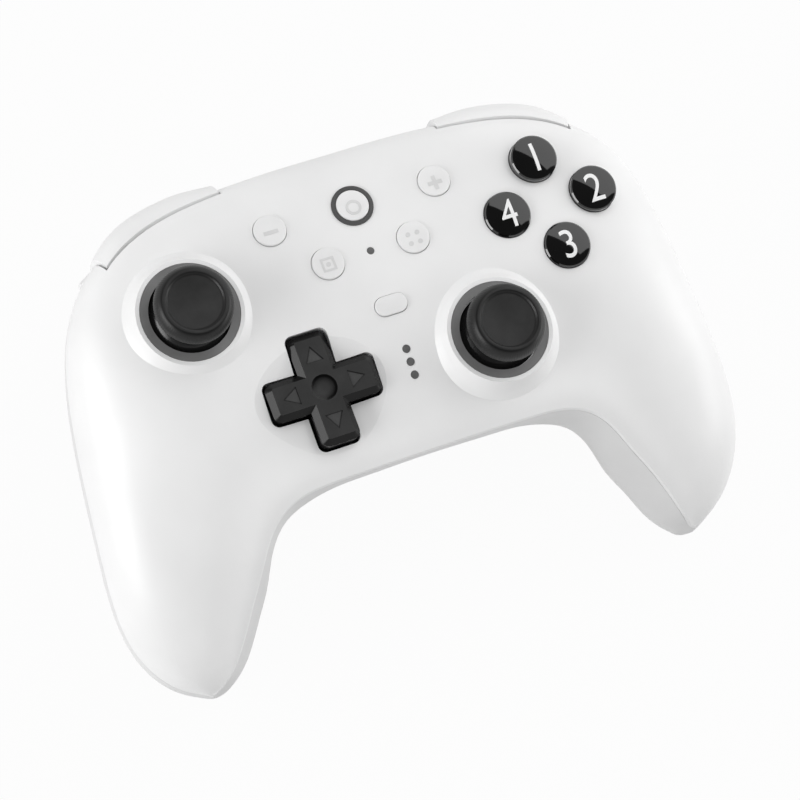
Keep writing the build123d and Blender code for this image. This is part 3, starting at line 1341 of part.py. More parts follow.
os.makedirs("parts", exist_ok=True)
NODES = build_nodes()
MOVE = resting_place(NODES.values())
print("moved by", MOVE.position)
for node_name, node_shape in NODES.items():
    placed = Compound([solid.moved(MOVE) for solid in node_shape.solids()])
    export_step(placed, "parts/" + node_name + ".step")
    print(node_name, round(placed.volume, 1))
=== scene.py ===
# %% [markdown]
# # A two-handed gamepad
# The object is a wireless gamepad in satin white plastic with black rubber sticks, a black
# cross pad and four glossy round buttons. Every moving piece already exists as an exact solid
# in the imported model, so this lesson loads those solids as a fixed frame. It then gives each
# of them a finish, and models the small things that a solid model leaves out: the turned
# rubber caps with their ribbed rims, the printed numbers, the arrows and other low marks, and
# the contacts of the charging inlet.

# %% Load the frame
import json
import math
import bmesh
import bpy
from mathutils import Matrix, Vector
from mathutils.bvhtree import BVHTree


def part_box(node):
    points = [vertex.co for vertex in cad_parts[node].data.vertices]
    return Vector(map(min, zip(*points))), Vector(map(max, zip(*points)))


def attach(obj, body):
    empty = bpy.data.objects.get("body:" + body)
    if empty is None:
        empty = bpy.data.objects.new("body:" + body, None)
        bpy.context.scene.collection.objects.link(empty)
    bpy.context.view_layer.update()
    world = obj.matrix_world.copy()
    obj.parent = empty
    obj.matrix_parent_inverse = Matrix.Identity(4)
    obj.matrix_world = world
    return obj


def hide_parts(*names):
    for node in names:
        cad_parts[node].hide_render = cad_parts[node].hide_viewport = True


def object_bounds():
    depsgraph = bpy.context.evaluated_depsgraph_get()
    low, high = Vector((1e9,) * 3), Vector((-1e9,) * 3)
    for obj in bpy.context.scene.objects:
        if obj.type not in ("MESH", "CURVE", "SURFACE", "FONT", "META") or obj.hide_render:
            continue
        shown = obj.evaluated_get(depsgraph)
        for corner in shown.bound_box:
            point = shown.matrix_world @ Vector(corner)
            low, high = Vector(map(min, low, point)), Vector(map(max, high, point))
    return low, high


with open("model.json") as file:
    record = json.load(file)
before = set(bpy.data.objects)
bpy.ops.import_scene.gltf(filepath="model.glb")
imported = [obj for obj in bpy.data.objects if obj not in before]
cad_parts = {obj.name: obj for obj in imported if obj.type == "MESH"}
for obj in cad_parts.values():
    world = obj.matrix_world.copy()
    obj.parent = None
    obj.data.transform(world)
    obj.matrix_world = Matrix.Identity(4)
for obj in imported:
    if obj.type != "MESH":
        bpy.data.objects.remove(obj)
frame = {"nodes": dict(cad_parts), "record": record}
CAD_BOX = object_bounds()
NODES = frame["nodes"]
MM = 0.001
print("pieces in the frame:", len(NODES))

# %% [markdown]
# ## The camera
# The photograph was taken from above and from the player's left, with a long lens, and the
# camera was rolled. The position and the three axes below were solved from the places of the
# controls on the face. Three axes say more than two angles do, because they hold the roll.

# %% Set up the camera
CAMERA_PLACE = Vector((-172.3, -113.4, 650.7)) * MM
CAMERA_RIGHT = Vector((0.91747, -0.34737, 0.19392))
CAMERA_UP = Vector((0.29869, 0.92343, 0.24099))
CAMERA_LENS = 129.46
SENSOR_WIDTH = 36

camera_data = bpy.data.cameras.new("camera")
camera_data.lens = CAMERA_LENS
camera_data.sensor_width = SENSOR_WIDTH
camera = bpy.data.objects.new("camera", camera_data)
bpy.context.scene.collection.objects.link(camera)
turn = Matrix((CAMERA_RIGHT, CAMERA_UP, CAMERA_RIGHT.cross(CAMERA_UP))).transposed()
camera.matrix_world = Matrix.Translation(CAMERA_PLACE) @ turn.to_4x4()
bpy.context.scene.camera = camera
print("camera height in metres:", round(camera.location.z, 3))

# %% [markdown]
# ## Light and floor
# A white pad on a white ground needs soft light from several sides, with one side weaker so
# that the curves still show. One large lamp stands behind the pad on the right, where the
# bright shapes on the round buttons come from. The ground is a pale sheet that looks white
# to the camera and to reflections through Light Path, and still takes a little of the shadow.
# Reflections see the same white low down and a dark ceiling high up, as in a real studio, so
# that black plastic stays black from above.

# %% Lamps
MIDDLE = (CAD_BOX[0] + CAD_BOX[1]) / 2
UPWARDS = Vector((0, 0, 1))
LAMPS = {
    # place, size and power of each lamp
    "key_lamp": ((0.50, 0.40, 0.56), (0.90, 0.90), 3.2),
    "left_lamp": ((-0.80, -0.02, 0.30), (0.60, 0.40), 4.1),
    "right_lamp": ((0.80, -0.20, 0.22), (0.60, 0.36), 2.0)}


def lamp(name, place, size, power):
    """A soft rectangular lamp that points at the middle of the pad."""
    data = bpy.data.lights.new(name, "AREA")
    data.shape = "RECTANGLE"
    data.size, data.size_y = size
    data.energy = power
    thing = bpy.data.objects.new(name, data)
    bpy.context.scene.collection.objects.link(thing)
    thing.location = Vector(place)
    thing.rotation_euler = (MIDDLE - thing.location).to_track_quat("-Z", "Y").to_euler()


for lamp_name, (lamp_place, lamp_size, lamp_power) in LAMPS.items():
    lamp(lamp_name, lamp_place, lamp_size, lamp_power)

# %% World and floor
WORLD_LIGHT = 0.55
CEILING_GLOSS = 0.05
BACKDROP_TOP = 0.30
CEILING_START = 0.55


def white_to_the_camera(tree):
    """A value of 1 for camera, glossy and transmission rays, and 0 for the others."""
    path = tree.nodes.new("ShaderNodeLightPath")
    total = None
    for output in ("Is Camera Ray", "Is Glossy Ray", "Is Transmission Ray"):
        if total is None:
            total = path.outputs[output]
            continue
        either = tree.nodes.new("ShaderNodeMath")
        either.operation = "MAXIMUM"
        tree.links.new(total, either.inputs[0])
        tree.links.new(path.outputs[output], either.inputs[1])
        total = either.outputs[0]
    return total


world = bpy.data.worlds.new("studio")
bpy.context.scene.world = world
world.use_nodes = True
sky = world.node_tree
sky.nodes.clear()
dim = sky.nodes.new("ShaderNodeBackground")
dim.inputs["Color"].default_value = (1, 1, 1, 1)
bright = sky.nodes.new("ShaderNodeBackground")
bright.inputs["Color"].default_value = (1, 1, 1, 1)
bright.inputs["Strength"].default_value = 1
sky_path = sky.nodes.new("ShaderNodeLightPath")
sky_spot = sky.nodes.new("ShaderNodeTexCoord")
sky_parts = sky.nodes.new("ShaderNodeSeparateXYZ")
sky.links.new(sky_spot.outputs["Generated"], sky_parts.inputs["Vector"])
mirrored_sky = sky.nodes.new("ShaderNodeMapRange")
mirrored_sky.inputs["From Min"].default_value = BACKDROP_TOP
mirrored_sky.inputs["From Max"].default_value = CEILING_START
mirrored_sky.inputs["To Min"].default_value = 1
mirrored_sky.inputs["To Max"].default_value = CEILING_GLOSS
sky.links.new(sky_parts.outputs["Z"], mirrored_sky.inputs["Value"])
strength = sky.nodes.new("ShaderNodeMix")
strength.inputs["A"].default_value = WORLD_LIGHT
sky.links.new(mirrored_sky.outputs["Result"], strength.inputs["B"])
sky.links.new(sky_path.outputs["Is Glossy Ray"], strength.inputs["Factor"])
sky.links.new(strength.outputs["Result"], dim.inputs["Strength"])
either = sky.nodes.new("ShaderNodeMixShader")
sky.links.new(sky_path.outputs["Is Camera Ray"], either.inputs["Fac"])
sky.links.new(dim.outputs[0], either.inputs[1])
sky.links.new(bright.outputs[0], either.inputs[2])
sky_out = sky.nodes.new("ShaderNodeOutputWorld")
sky.links.new(either.outputs[0], sky_out.inputs["Surface"])

FLOOR_SIZE = 6.0
FLOOR_DROP = 0.2 * MM
SHADOW_SHARE = 0.04
PAPER_GREY = 0.50
PAPER_ROUGHNESS = 0.9

floor_mesh = bmesh.new()
bmesh.ops.create_grid(floor_mesh, x_segments=1, y_segments=1, size=FLOOR_SIZE / 2)
bmesh.ops.translate(floor_mesh, vec=(0, 0, -FLOOR_DROP), verts=floor_mesh.verts)
floor_data = bpy.data.meshes.new("floor")
floor_mesh.to_mesh(floor_data)
floor_mesh.free()
floor = bpy.data.objects.new("floor", floor_data)
bpy.context.scene.collection.objects.link(floor)

paper = bpy.data.materials.new("floor_paper")
paper.use_nodes = True
paper_tree = paper.node_tree
paper_shader = paper_tree.nodes["Principled BSDF"]
paper_shader.inputs["Base Color"].default_value = (PAPER_GREY, PAPER_GREY, PAPER_GREY, 1)
paper_shader.inputs["Roughness"].default_value = PAPER_ROUGHNESS
glow = paper_tree.nodes.new("ShaderNodeEmission")
glow.inputs["Color"].default_value = (1, 1, 1, 1)
paper_mix = paper_tree.nodes.new("ShaderNodeMixShader")
weaken = paper_tree.nodes.new("ShaderNodeMath")
weaken.operation = "MULTIPLY"
weaken.inputs[1].default_value = 1 - SHADOW_SHARE
paper_tree.links.new(white_to_the_camera(paper_tree), weaken.inputs[0])
paper_tree.links.new(weaken.outputs[0], paper_mix.inputs["Fac"])
paper_tree.links.new(paper_shader.outputs[0], paper_mix.inputs[1])
paper_tree.links.new(glow.outputs[0], paper_mix.inputs[2])
paper_tree.links.new(paper_mix.outputs[0], paper_tree.nodes["Material Output"].inputs["Surface"])
floor_data.materials.append(paper)
bpy.context.scene.view_settings.view_transform = "Standard"
print("lamps and floor are set")

# %% [markdown]
# ## One group for moulded surfaces
# Plastic and rubber that come out of a mould are never one flat colour. They carry the fine
# grain of the tool, and handling leaves slow changes in shade and in gloss. All the moulded
# pieces share these effects, so they are built once as a node group. The group gives out a
# colour, a roughness and a normal, and each material sets its own sizes and strengths.

# %% Build the moulded surface group
MOTTLE_DETAIL = 3
MOTTLE_RANGE = (0.35, 0.75)
GRAIN_DETAIL = 2
GRAIN_DEPTH = 0.03 * MM

moulded = bpy.data.node_groups.new("moulded_surface", "ShaderNodeTree")
for label, kind, default in (
        ("Colour", "NodeSocketColor", (0.8, 0.8, 0.8, 1)),
        ("Worn Colour", "NodeSocketColor", (0.7, 0.7, 0.7, 1)),
        ("Mottle Scale", "NodeSocketFloat", 40.0),
        ("Roughness", "NodeSocketFloat", 0.4),
        ("Roughness Spread", "NodeSocketFloat", 0.1),
        ("Grain Scale", "NodeSocketFloat", 3000.0),
        ("Grain Strength", "NodeSocketFloat", 0.1)):
    socket = moulded.interface.new_socket(label, in_out="INPUT", socket_type=kind)
    socket.default_value = default
moulded.interface.new_socket("Colour", in_out="OUTPUT", socket_type="NodeSocketColor")
moulded.interface.new_socket("Roughness", in_out="OUTPUT", socket_type="NodeSocketFloat")
moulded.interface.new_socket("Normal", in_out="OUTPUT", socket_type="NodeSocketVector")

group_in = moulded.nodes.new("NodeGroupInput")
group_out = moulded.nodes.new("NodeGroupOutput")
spot = moulded.nodes.new("ShaderNodeTexCoord")
link = moulded.links.new

mottle = moulded.nodes.new("ShaderNodeTexNoise")
mottle.inputs["Detail"].default_value = MOTTLE_DETAIL
link(spot.outputs["Object"], mottle.inputs["Vector"])
link(group_in.outputs["Mottle Scale"], mottle.inputs["Scale"])
shade = moulded.nodes.new("ShaderNodeMapRange")
shade.inputs["From Min"].default_value = MOTTLE_RANGE[0]
shade.inputs["From Max"].default_value = MOTTLE_RANGE[1]
link(mottle.outputs["Fac"], shade.inputs["Value"])
tint = moulded.nodes.new("ShaderNodeMix")
tint.data_type = "RGBA"
link(shade.outputs["Result"], tint.inputs["Factor"])
link(group_in.outputs["Colour"], tint.inputs["A"])
link(group_in.outputs["Worn Colour"], tint.inputs["B"])
link(tint.outputs["Result"], group_out.inputs["Colour"])

spread = moulded.nodes.new("ShaderNodeMath")
spread.operation = "MULTIPLY_ADD"
link(mottle.outputs["Fac"], spread.inputs[0])
link(group_in.outputs["Roughness Spread"], spread.inputs[1])
link(group_in.outputs["Roughness"], spread.inputs[2])
link(spread.outputs[0], group_out.inputs["Roughness"])

grain = moulded.nodes.new("ShaderNodeTexNoise")
grain.inputs["Detail"].default_value = GRAIN_DETAIL
link(spot.outputs["Object"], grain.inputs["Vector"])
link(group_in.outputs["Grain Scale"], grain.inputs["Scale"])
relief = moulded.nodes.new("ShaderNodeBump")
relief.inputs["Distance"].default_value = GRAIN_DEPTH
link(group_in.outputs["Grain Strength"], relief.inputs["Strength"])
link(grain.outputs["Fac"], relief.inputs["Height"])
link(relief.outputs["Normal"], group_out.inputs["Normal"])
print("group sockets:", len(moulded.interface.items_tree))

# %% Make a material from the group


def moulded_material(name, colour, worn, roughness, spread_by, grain_scale, grain_strength,
                     mottle_scale, shader_values):
    """A Principled material fed by the moulded surface group."""
    material = bpy.data.materials.new(name)
    material.use_nodes = True
    tree = material.node_tree
    shader = tree.nodes["Principled BSDF"]
    group = tree.nodes.new("ShaderNodeGroup")
    group.node_tree = moulded
    group.inputs["Colour"].default_value = (*colour, 1)
    group.inputs["Worn Colour"].default_value = (*worn, 1)
    group.inputs["Mottle Scale"].default_value = mottle_scale
    group.inputs["Roughness"].default_value = roughness
    group.inputs["Roughness Spread"].default_value = spread_by
    group.inputs["Grain Scale"].default_value = grain_scale
    group.inputs["Grain Strength"].default_value = grain_strength
    tree.links.new(group.outputs["Colour"], shader.inputs["Base Color"])
    tree.links.new(group.outputs["Roughness"], shader.inputs["Roughness"])
    tree.links.new(group.outputs["Normal"], shader.inputs["Normal"])
    for socket_name, value in shader_values.items():
        shader.inputs[socket_name].default_value = value
    return material


def grey(level):
    """A neutral colour."""
    return (level, level, level)


# %% [markdown]
# ## The finishes
# The case is satin ABS with a very fine spark grain: white, with a soft wide highlight. The
# thumb caps are soft rubber, dull and a little dusty. The round buttons and the domes under
# the sticks are polished black, and the cross pad is between the two. Each finish gives its
# colour fresh and worn, its roughness and the spread of it, the scale and the strength of its
# grain, and the scale of its mottle. The grain of the case is a third of a millimetre wide.

# %% Plastics, rubber and metal
FINISHES = {
    # colour, worn colour, roughness, its spread, grain scale, grain strength, mottle scale
    "white_case": (grey(0.86), grey(0.80), 0.34, 0.10, 3200, 0.16, 35),
    # The rear shell's finish is the same white plastic painted darker, as painted shade.
    "shaded_rear_case": (grey(0.74), grey(0.68), 0.38, 0.10, 3200, 0.16, 35),
    "white_cap": (grey(0.84), grey(0.78), 0.36, 0.10, 3600, 0.12, 120),
    "soft_rubber": (grey(0.020), grey(0.034), 0.52, 0.16, 5200, 0.42, 160),
    "black_gloss": (grey(0.003), grey(0.005), 0.05, 0.03, 1500, 0.02, 90),
    "dome_gloss": (grey(0.010), grey(0.018), 0.16, 0.10, 2600, 0.06, 110),
    "pad_plastic": (grey(0.030), grey(0.040), 0.40, 0.12, 4200, 0.20, 150),
    "ring_plastic": (grey(0.16), grey(0.20), 0.36, 0.12, 4600, 0.16, 140),
    # The arrow plates are glossier than the pad and painted lighter, as a painted highlight.
    "arrow_plastic_painted_highlight": (grey(0.050), grey(0.070), 0.34, 0.10, 4600, 0.10, 150),
    "home_plastic": (grey(0.045), grey(0.07), 0.30, 0.10, 4600, 0.10, 140),
    "inner_plastic": (grey(0.035), grey(0.05), 0.45, 0.12, 3600, 0.20, 35),
    "silicone": ((0.50, 0.50, 0.48), (0.42, 0.42, 0.40), 0.50, 0.10, 2400, 0.20, 35),
    "print_white": (grey(0.90), grey(0.84), 0.40, 0.10, 6000, 0.10, 400),
    # The small-button marks are painted darker than their buttons, as painted shade for their low
    # relief.
    "mark_painted_shade": (grey(0.70), grey(0.64), 0.42, 0.10, 6000, 0.10, 300),
    "board_green": ((0.010, 0.085, 0.035), (0.020, 0.14, 0.06), 0.30, 0.10, 900, 0.25, 260),
    "cell_wrap": ((0.10, 0.12, 0.16), (0.14, 0.16, 0.20), 0.25, 0.10, 900, 0.20, 35),
    "light_lens": (grey(0.10), grey(0.15), 0.18, 0.10, 3000, 0.05, 600),
    "plain_steel": (grey(0.58), grey(0.50), 0.22, 0.14, 2200, 0.10, 300),
    "contact_gold": ((0.78, 0.55, 0.22), (0.66, 0.44, 0.16), 0.22, 0.10, 2400, 0.05, 300)}
SHADER_VALUES = {
    "soft_rubber": {"Specular IOR Level": 0.3},
    "black_gloss": {"Coat Weight": 0.8, "Coat Roughness": 0.03},
    "pad_plastic": {"Specular IOR Level": 0.2},
    "arrow_plastic_painted_highlight": {"Specular IOR Level": 0.3},
    "plain_steel": {"Metallic": 1.0},
    "contact_gold": {"Metallic": 1.0}}

finishes = {name: moulded_material(name, *values, SHADER_VALUES.get(name, {}))
            for name, values in FINISHES.items()}

FINISH_OF_SLOT = {
    "white_shell": "white_case", "white_button": "white_cap", "black_rubber": "soft_rubber",
    "black_gloss": "black_gloss", "grey_plastic": "ring_plastic", "clear_light": "light_lens",
    "steel": "plain_steel", "circuit_board": "board_green", "dark_plastic": "inner_plastic",
    "cell": "cell_wrap", "silicone": "silicone"}
FINISH_OF_NODE = {
    "rear_shell": "shaded_rear_case", "dpad_cross": "pad_plastic", "home_ring": "home_plastic",
    "left_stick_dome": "dome_gloss", "right_stick_dome": "dome_gloss"}

for subpart in frame["record"]["subparts"]:
    node_name = subpart["node"]
    finish_name = FINISH_OF_NODE.get(node_name, FINISH_OF_SLOT[subpart["material_slot"]])
    for material_slot in NODES[node_name].material_slots:
        material_slot.material = finishes[finish_name]

# %% [markdown]
# ## Polished slopes with painted shade, matt tops
# Thumbs keep the tops of the cross pad and of the thumb caps matt, while the slopes round them
# stay polished, and their colour is painted much blacker than the tops as painted shade. One
# material does both, because the slope itself tells them apart: the height of the surface normal
# is near one on the tops and smaller elsewhere.

# %% Polish the slopes and paint shade on them
SLOPE_HEIGHT = 0.90
TOP_HEIGHT = 0.98


def polish_and_shade_slopes(material, slope_painted_shade, slope_roughness):
    """Gives the steep parts of a moulded material their own gloss, and a darker colour as painted
    shade.
    """
    tree = material.node_tree
    shader = tree.nodes["Principled BSDF"]
    group = shader.inputs["Base Color"].links[0].from_node
    place = tree.nodes.new("ShaderNodeTexCoord")
    parts = tree.nodes.new("ShaderNodeSeparateXYZ")
    top = tree.nodes.new("ShaderNodeMapRange")
    top.inputs["From Min"].default_value = SLOPE_HEIGHT
    top.inputs["From Max"].default_value = TOP_HEIGHT
    slope_shade_mix = tree.nodes.new("ShaderNodeMix")
    slope_shade_mix.data_type = "RGBA"
    slope_shade_mix.inputs["A"].default_value = (*slope_painted_shade, 1)
    shine = tree.nodes.new("ShaderNodeMix")
    shine.inputs["A"].default_value = slope_roughness
    tree.links.new(place.outputs["Normal"], parts.inputs["Vector"])
    tree.links.new(parts.outputs["Z"], top.inputs["Value"])
    for blend, output, target in ((slope_shade_mix, "Colour", "Base Color"),
                                  (shine, "Roughness", "Roughness")):
        tree.links.new(top.outputs["Result"], blend.inputs["Factor"])
        tree.links.new(group.outputs[output], blend.inputs["B"])
        tree.links.new(blend.outputs["Result"], shader.inputs[target])
    print(material.name, "nodes:", len(tree.nodes))


# The slope colours below are painted shade that darkens the slopes of the cross pad and the thumb
# caps.
polish_and_shade_slopes(finishes["pad_plastic"], slope_painted_shade=grey(0.003), slope_roughness=0.20)
polish_and_shade_slopes(finishes["soft_rubber"], slope_painted_shade=grey(0.008), slope_roughness=0.38)

# %% [markdown]
# ## From a bmesh to a piece
# Every new piece goes the same way: a bmesh becomes a mesh, gets a finish, and rides on the
# body that carries it. Its object stays at the origin, because the frame's pieces do too, and
# patterns on Object coordinates then stay where they are on the piece.

# %% Helper that finishes a piece
WELD_DISTANCE = 0.001 * MM


def piece(name, shape, body, finish_name, smooth=True):
    """Turns a bmesh into a piece of the pad that rides on a body."""
    bmesh.ops.remove_doubles(shape, verts=shape.verts, dist=WELD_DISTANCE)
    bmesh.ops.recalc_face_normals(shape, faces=shape.faces)
    data = bpy.data.meshes.new(name)
    shape.to_mesh(data)
    shape.free()
    for face in data.polygons:
        face.use_smooth = smooth
    data.materials.append(finishes[finish_name])
    thing = bpy.data.objects.new(name, data)
    bpy.context.scene.collection.objects.link(thing)
    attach(thing, body)
    print(name, "faces:", len(data.polygons))
    return thing


def middle_of(node_name):
    """Centre of a CAD node's box."""
    low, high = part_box(node_name)
    return (low + high) / 2


# %% [markdown]
# ## The thumb caps
# A real thumb cap is moulded rubber with a dished disc, a raised ring round it, and a rim
# with fine ribs for grip. A profile spun round the stick's axis gives the round forms, and the
# ribs come from moving every third column of the rim inwards by a fraction of a millimetre.
# The profile starts and ends on the axis, so the spun cap is closed and needs no caps of its
# own, and its outer sizes are read from the solid it replaces.

# %% Spin the thumb caps
CAP_STEPS = 288
CAP_PROFILE_SHARES = [
    # share of the radius, share of the height
    (0.00, 0.00), (0.44, 0.00), (0.50, 0.06), (0.66, 0.16), (0.82, 0.24), (0.90, 0.26),
    (0.965, 0.30), (0.99, 0.35), (1.00, 0.40), (1.00, 0.46), (0.995, 0.54), (0.983, 0.62),
    (0.965, 0.70), (0.94, 0.78), (0.91, 0.85), (0.88, 0.905), (0.85, 0.95), (0.82, 0.98),
    (0.79, 0.998), (0.765, 1.00), (0.74, 0.99), (0.72, 0.965), (0.70, 0.93), (0.685, 0.905),
    (0.67, 0.892), (0.64, 0.884), (0.60, 0.87), (0.50, 0.835), (0.38, 0.795), (0.25, 0.765),
    (0.12, 0.75), (0.00, 0.745)]
RIB_LOW_SHARE = 0.33
RIB_HIGH_SHARE = 0.86
RIB_OUTER_SHARE = 0.90
RIB_DEPTH = 0.08 * MM
COLUMNS_PER_RIB = 3


def thumb_cap(side):
    """The spun rubber cap of one stick."""
    node_name = side + "_stick_cap"
    low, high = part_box(node_name)
    centre = (low + high) / 2
    radius = (high.x - low.x) / 2
    height = high.z - low.z
    shape = bmesh.new()
    corners = [shape.verts.new((centre.x + share * radius, centre.y, low.z + rise * height))
               for share, rise in CAP_PROFILE_SHARES]
    lines = [shape.edges.new(pair) for pair in zip(corners, corners[1:])]
    bmesh.ops.spin(shape, geom=corners + lines, cent=centre, axis=UPWARDS, angle=math.tau,
                   steps=CAP_STEPS, use_merge=True)
    for vertex in shape.verts:
        arm = Vector((vertex.co.x - centre.x, vertex.co.y - centre.y, 0))
        rise = (vertex.co.z - low.z) / height
        on_rim = arm.length > RIB_OUTER_SHARE * radius and RIB_LOW_SHARE < rise < RIB_HIGH_SHARE
        column = round(math.atan2(arm.y, arm.x) / math.tau * CAP_STEPS)
        if on_rim and column % COLUMNS_PER_RIB == 0:
            vertex.co -= arm.normalized() * RIB_DEPTH
    cap = piece(side + "_thumb_cap", shape, side + "_stick", "soft_rubber")
    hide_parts(node_name)


for stick_side in ("left", "right"):
    thumb_cap(stick_side)

# %% [markdown]
# ## Draping flat marks over curved buttons
# Prints and raised marks follow the curve of the button below them. Here each one starts as a
# flat shape above the button. It is cut into narrow strips with bisect_plane, so that it can
# bend, and each of its points then drops straight down until a ray meets the button's own
# mesh. A Solidify modifier gives the sheet its thin body at the end, with the lower half of
# it sunk in the button.

# %% Helpers for draped marks
STRIP = 0.5 * MM
PRINT_THICKNESS = 0.05 * MM
RAY_START = 80 * MM


def cut_in_strips(shape):
    """Cuts a flat shape along both directions, so that it can bend."""
    for axis in (Vector((1, 0, 0)), Vector((0, 1, 0))):
        reach = [vertex.co.dot(axis) for vertex in shape.verts]
        count = int((max(reach) - min(reach)) / STRIP)
        for step in range(1, count + 1):
            everything = shape.verts[:] + shape.edges[:] + shape.faces[:]
            bmesh.ops.bisect_plane(shape, geom=everything, plane_no=axis,
                                   plane_co=axis * (min(reach) + step * STRIP))


def drape(shape, node_name, lift):
    """Drops every point of a shape on to a node from above."""
    data = NODES[node_name].data
    data.calc_loop_triangles()
    corners = [vertex.co for vertex in data.vertices]
    faces = [tuple(face.vertices) for face in data.loop_triangles]
    tree = BVHTree.FromPolygons(corners, faces)
    for vertex in shape.verts:
        start = Vector((vertex.co.x, vertex.co.y, RAY_START))
        hit = tree.ray_cast(start, -UPWARDS)[0]
        if hit is not None:
            vertex.co = hit + UPWARDS * lift
        else:
            print("a point of the mark misses", node_name)


def mark(name, shape, node_name, body, finish_name, thickness):
    """A flat bmesh in the XY plane becomes a thin mark that follows a button's top."""
    cut_in_strips(shape)
    drape(shape, node_name, thickness)
    thing = piece(name, shape, body, finish_name, smooth=False)
    for face in thing.data.polygons:
        if face.normal.z < 0:
            thing.data.flip_normals()
            break
    body_of_mark = thing.modifiers.new("thickness", "SOLIDIFY")
    body_of_mark.thickness = thickness * 2
    body_of_mark.offset = -1


# %% [markdown]
# ## Numbers on the round buttons
# Real pads print large marks on these buttons so that games can name them. Plain numbers are
# used here. A text object gives their outlines. It becomes a mesh, is made narrower by
# scaling, and is draped over the dome.

# %% Print the numbers
NUMBER_OF_BUTTON = {"top": "1", "right": "2", "bottom": "3", "left": "4"}
NUMBER_HEIGHT = 6.6 * MM
NUMBER_NARROWING = 0.86
LETTER_WELD = 0.0001


def number_shape(text, height):
    """The flat outline of a number, centred on the origin, as a bmesh."""
    curve = bpy.data.curves.new("number", "FONT")
    curve.body = text
    curve.size = 1
    curve.fill_mode = "FRONT"
    letter = bpy.data.objects.new("number", curve)
    bpy.context.scene.collection.objects.link(letter)
    bpy.context.view_layer.update()
    flat = bpy.data.meshes.new_from_object(letter)
    shape = bmesh.new()
    shape.from_mesh(flat)
    bpy.data.objects.remove(letter)
    bpy.data.meshes.remove(flat)
    bmesh.ops.remove_doubles(shape, verts=shape.verts, dist=LETTER_WELD)
    low = Vector([min(vertex.co[i] for vertex in shape.verts) for i in range(3)])
    high = Vector([max(vertex.co[i] for vertex in shape.verts) for i in range(3)])
    centre = (low + high) / 2
    size = height / (high.y - low.y)
    bmesh.ops.translate(shape, vec=-centre, verts=shape.verts)
    bmesh.ops.scale(shape, vec=(size * NUMBER_NARROWING, size, 1), verts=shape.verts)
    return shape


for place_name, number in NUMBER_OF_BUTTON.items():
    button_node = "face_button_" + place_name
    digit = number_shape(number, NUMBER_HEIGHT)
    bmesh.ops.translate(digit, vec=middle_of(button_node), verts=digit.verts)
    mark("number_" + place_name, digit, button_node, button_node, "print_white", PRINT_THICKNESS)

# %% [markdown]
# ## Arrows on the cross pad
# Each arm of the cross pad has a triangular recess. The real pad's recesses hold a smoother
# triangle, so a thin three-cornered plate is draped into each of them. The plate is glossier than
# the pad and is also painted a little lighter, as a painted highlight for the light it catches.

# %% Lay the arrows
ARROW_TIP = 9.3 * MM
ARROW_LENGTH = 3.1 * MM
ARROW_WIDTH = 3.5 * MM
ARROW_THICKNESS = 0.06 * MM

for quarter, direction in enumerate(("right", "up", "left", "down")):
    arrow = bmesh.new()
    corners = [arrow.verts.new((ARROW_TIP, 0, 0))]
    for edge_side in (1, -1):
        corners.append(arrow.verts.new((ARROW_TIP - ARROW_LENGTH, edge_side * ARROW_WIDTH / 2, 0)))
    arrow.faces.new(corners)
    place = Matrix.Translation(middle_of("dpad_cross")) @ Matrix.Rotation(
        quarter * math.tau / 4, 4, "Z")
    bmesh.ops.transform(arrow, matrix=place, verts=arrow.verts)
    mark("arrow_" + direction, arrow, "dpad_cross", "dpad", "arrow_plastic_painted_highlight", ARROW_THICKNESS)

# %% [markdown]
# ## Raised marks on the small buttons
# The small white buttons carry low marks in the same plastic. Their colour is painted a little
# darker than the button, as painted shade that stands in for the shade of their low relief.
# They are plain signs: a bar, a cross, a ring, a framed dot and four dots. Each sign is built
# from grids and discs that lie side by side, and is draped like the numbers.

# %% Build the marks
MARK_THICKNESS = 0.09 * MM
BAR_LENGTH = 3.4 * MM
BAR_WIDTH = 0.9 * MM
RING_RADIUS = 1.8 * MM
RING_LINE = 0.6 * MM
DOT_RADIUS = 0.55 * MM
DOT_SPREAD = 1.1 * MM
FRAME_HALF = 1.6 * MM
FRAME_LINE = 0.5 * MM
ROUND_SIDES = 32


def bar(shape, centre, length, width):
    """Adds a flat bar."""
    place = Matrix.Translation(centre) @ Matrix.Diagonal((length / 2, width / 2, 1, 1))
    bmesh.ops.create_grid(shape, x_segments=1, y_segments=1, size=1, matrix=place)


def disc(shape, centre, radius):
    """Adds a flat disc."""
    bmesh.ops.create_circle(shape, cap_ends=True, segments=ROUND_SIDES, radius=radius,
                            matrix=Matrix.Translation(centre))


def band(shape, centre, radius, width, sides, turn_by=0.0):
    """Adds a flat ring, or a frame when it has four sides."""
    place = Matrix.Translation(centre) @ Matrix.Rotation(turn_by, 4, "Z")
    made = bmesh.ops.create_circle(shape, cap_ends=True, segments=sides, radius=radius,
                                   matrix=place)
    face = made["verts"][0].link_faces[0]
    bmesh.ops.inset_region(shape, faces=[face], thickness=width, use_boundary=True,
                           use_even_offset=True)
    bmesh.ops.delete(shape, geom=[face], context="FACES")


def small_mark(button_name, build):
    """Builds one sign over a small button and drapes it."""
    node_name = button_name + "_button"
    shape = bmesh.new()
    build(shape, middle_of(node_name))
    mark(button_name + "_mark", shape, node_name, node_name, "mark_painted_shade", MARK_THICKNESS)


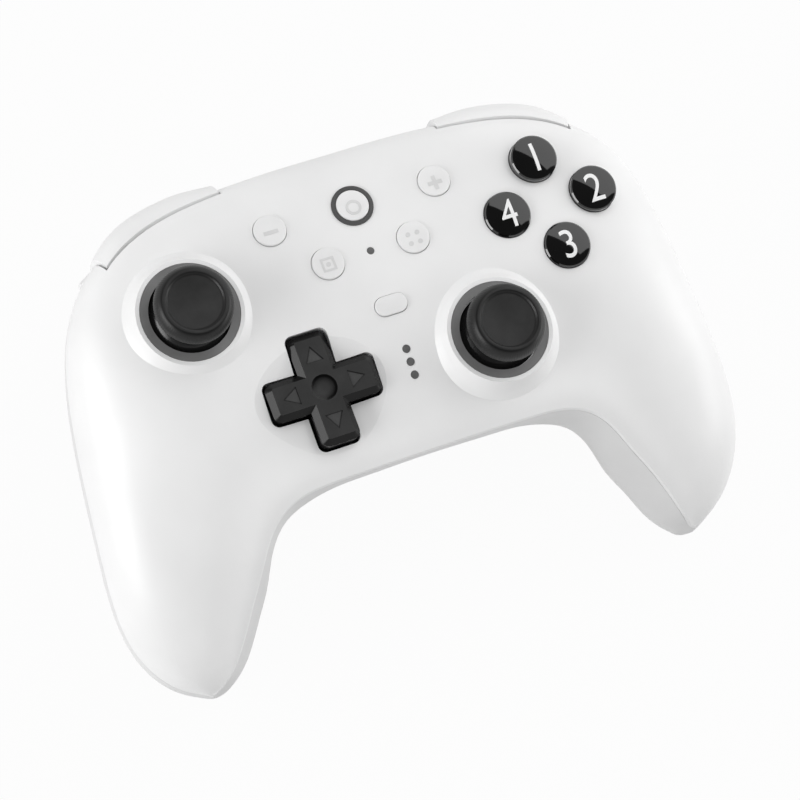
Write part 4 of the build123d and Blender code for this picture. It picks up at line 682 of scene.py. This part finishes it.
def plus_sign(shape, centre):
    """A cross of one long bar and two short ones."""
    short = (BAR_LENGTH - BAR_WIDTH) / 2
    bar(shape, centre, BAR_LENGTH, BAR_WIDTH)
    for direction in (-1, 1):
        offset = Vector((0, direction * (BAR_WIDTH + short) / 2, 0))
        bar(shape, centre + offset, BAR_WIDTH, short)


def framed_dot(shape, centre):
    """A square frame with a dot in it."""
    band(shape, centre, FRAME_HALF * math.sqrt(2), FRAME_LINE, 4, math.pi / 4)
    disc(shape, centre, DOT_RADIUS)


def four_dots(shape, centre):
    """Four dots in a square."""
    for across in (-1, 1):
        for along in (-1, 1):
            disc(shape, centre + Vector((across, along, 0)) * DOT_SPREAD, DOT_RADIUS)


def minus_sign(shape, centre):
    """One long bar."""
    bar(shape, centre, BAR_LENGTH, BAR_WIDTH)


def ring_sign(shape, centre):
    """A plain ring."""
    band(shape, centre, RING_RADIUS, RING_LINE, ROUND_SIDES)


small_mark("minus", minus_sign)
small_mark("plus", plus_sign)
small_mark("home", ring_sign)
small_mark("capture", framed_dot)
small_mark("assist", four_dots)

# %% [markdown]
# ## Contacts in the charging inlet
# The inlet's tongue carries a row of gold contacts on each face. A cube is stretched into one
# contact, copied along the row, and the row is mirrored to the under side of the tongue.

# %% Lay the contacts
CONTACT_COUNT = 12
CONTACT_PITCH = 0.5 * MM
CONTACT_WIDTH = 0.26 * MM
CONTACT_LENGTH = 3.4 * MM
CONTACT_THICKNESS = 0.06 * MM
TONGUE_HEIGHT = 0.7 * MM
TONGUE_SETBACK = 1.4 * MM

port_low, port_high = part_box("usb_port")
port_middle = (port_low + port_high) / 2
contacts = bmesh.new()
for row_side in (-1, 1):
    for index in range(CONTACT_COUNT):
        across = (index - (CONTACT_COUNT - 1) / 2) * CONTACT_PITCH
        up = row_side * (TONGUE_HEIGHT + CONTACT_THICKNESS) / 2
        back = port_high.y - TONGUE_SETBACK - CONTACT_LENGTH / 2
        place = Matrix.Translation((port_middle.x + across, back, port_middle.z + up))
        stretch = Matrix.Diagonal((CONTACT_WIDTH, CONTACT_LENGTH, CONTACT_THICKNESS, 1))
        bmesh.ops.create_cube(contacts, size=1, matrix=place @ stretch)
piece("usb_contacts", contacts, "body", "contact_gold", smooth=False)
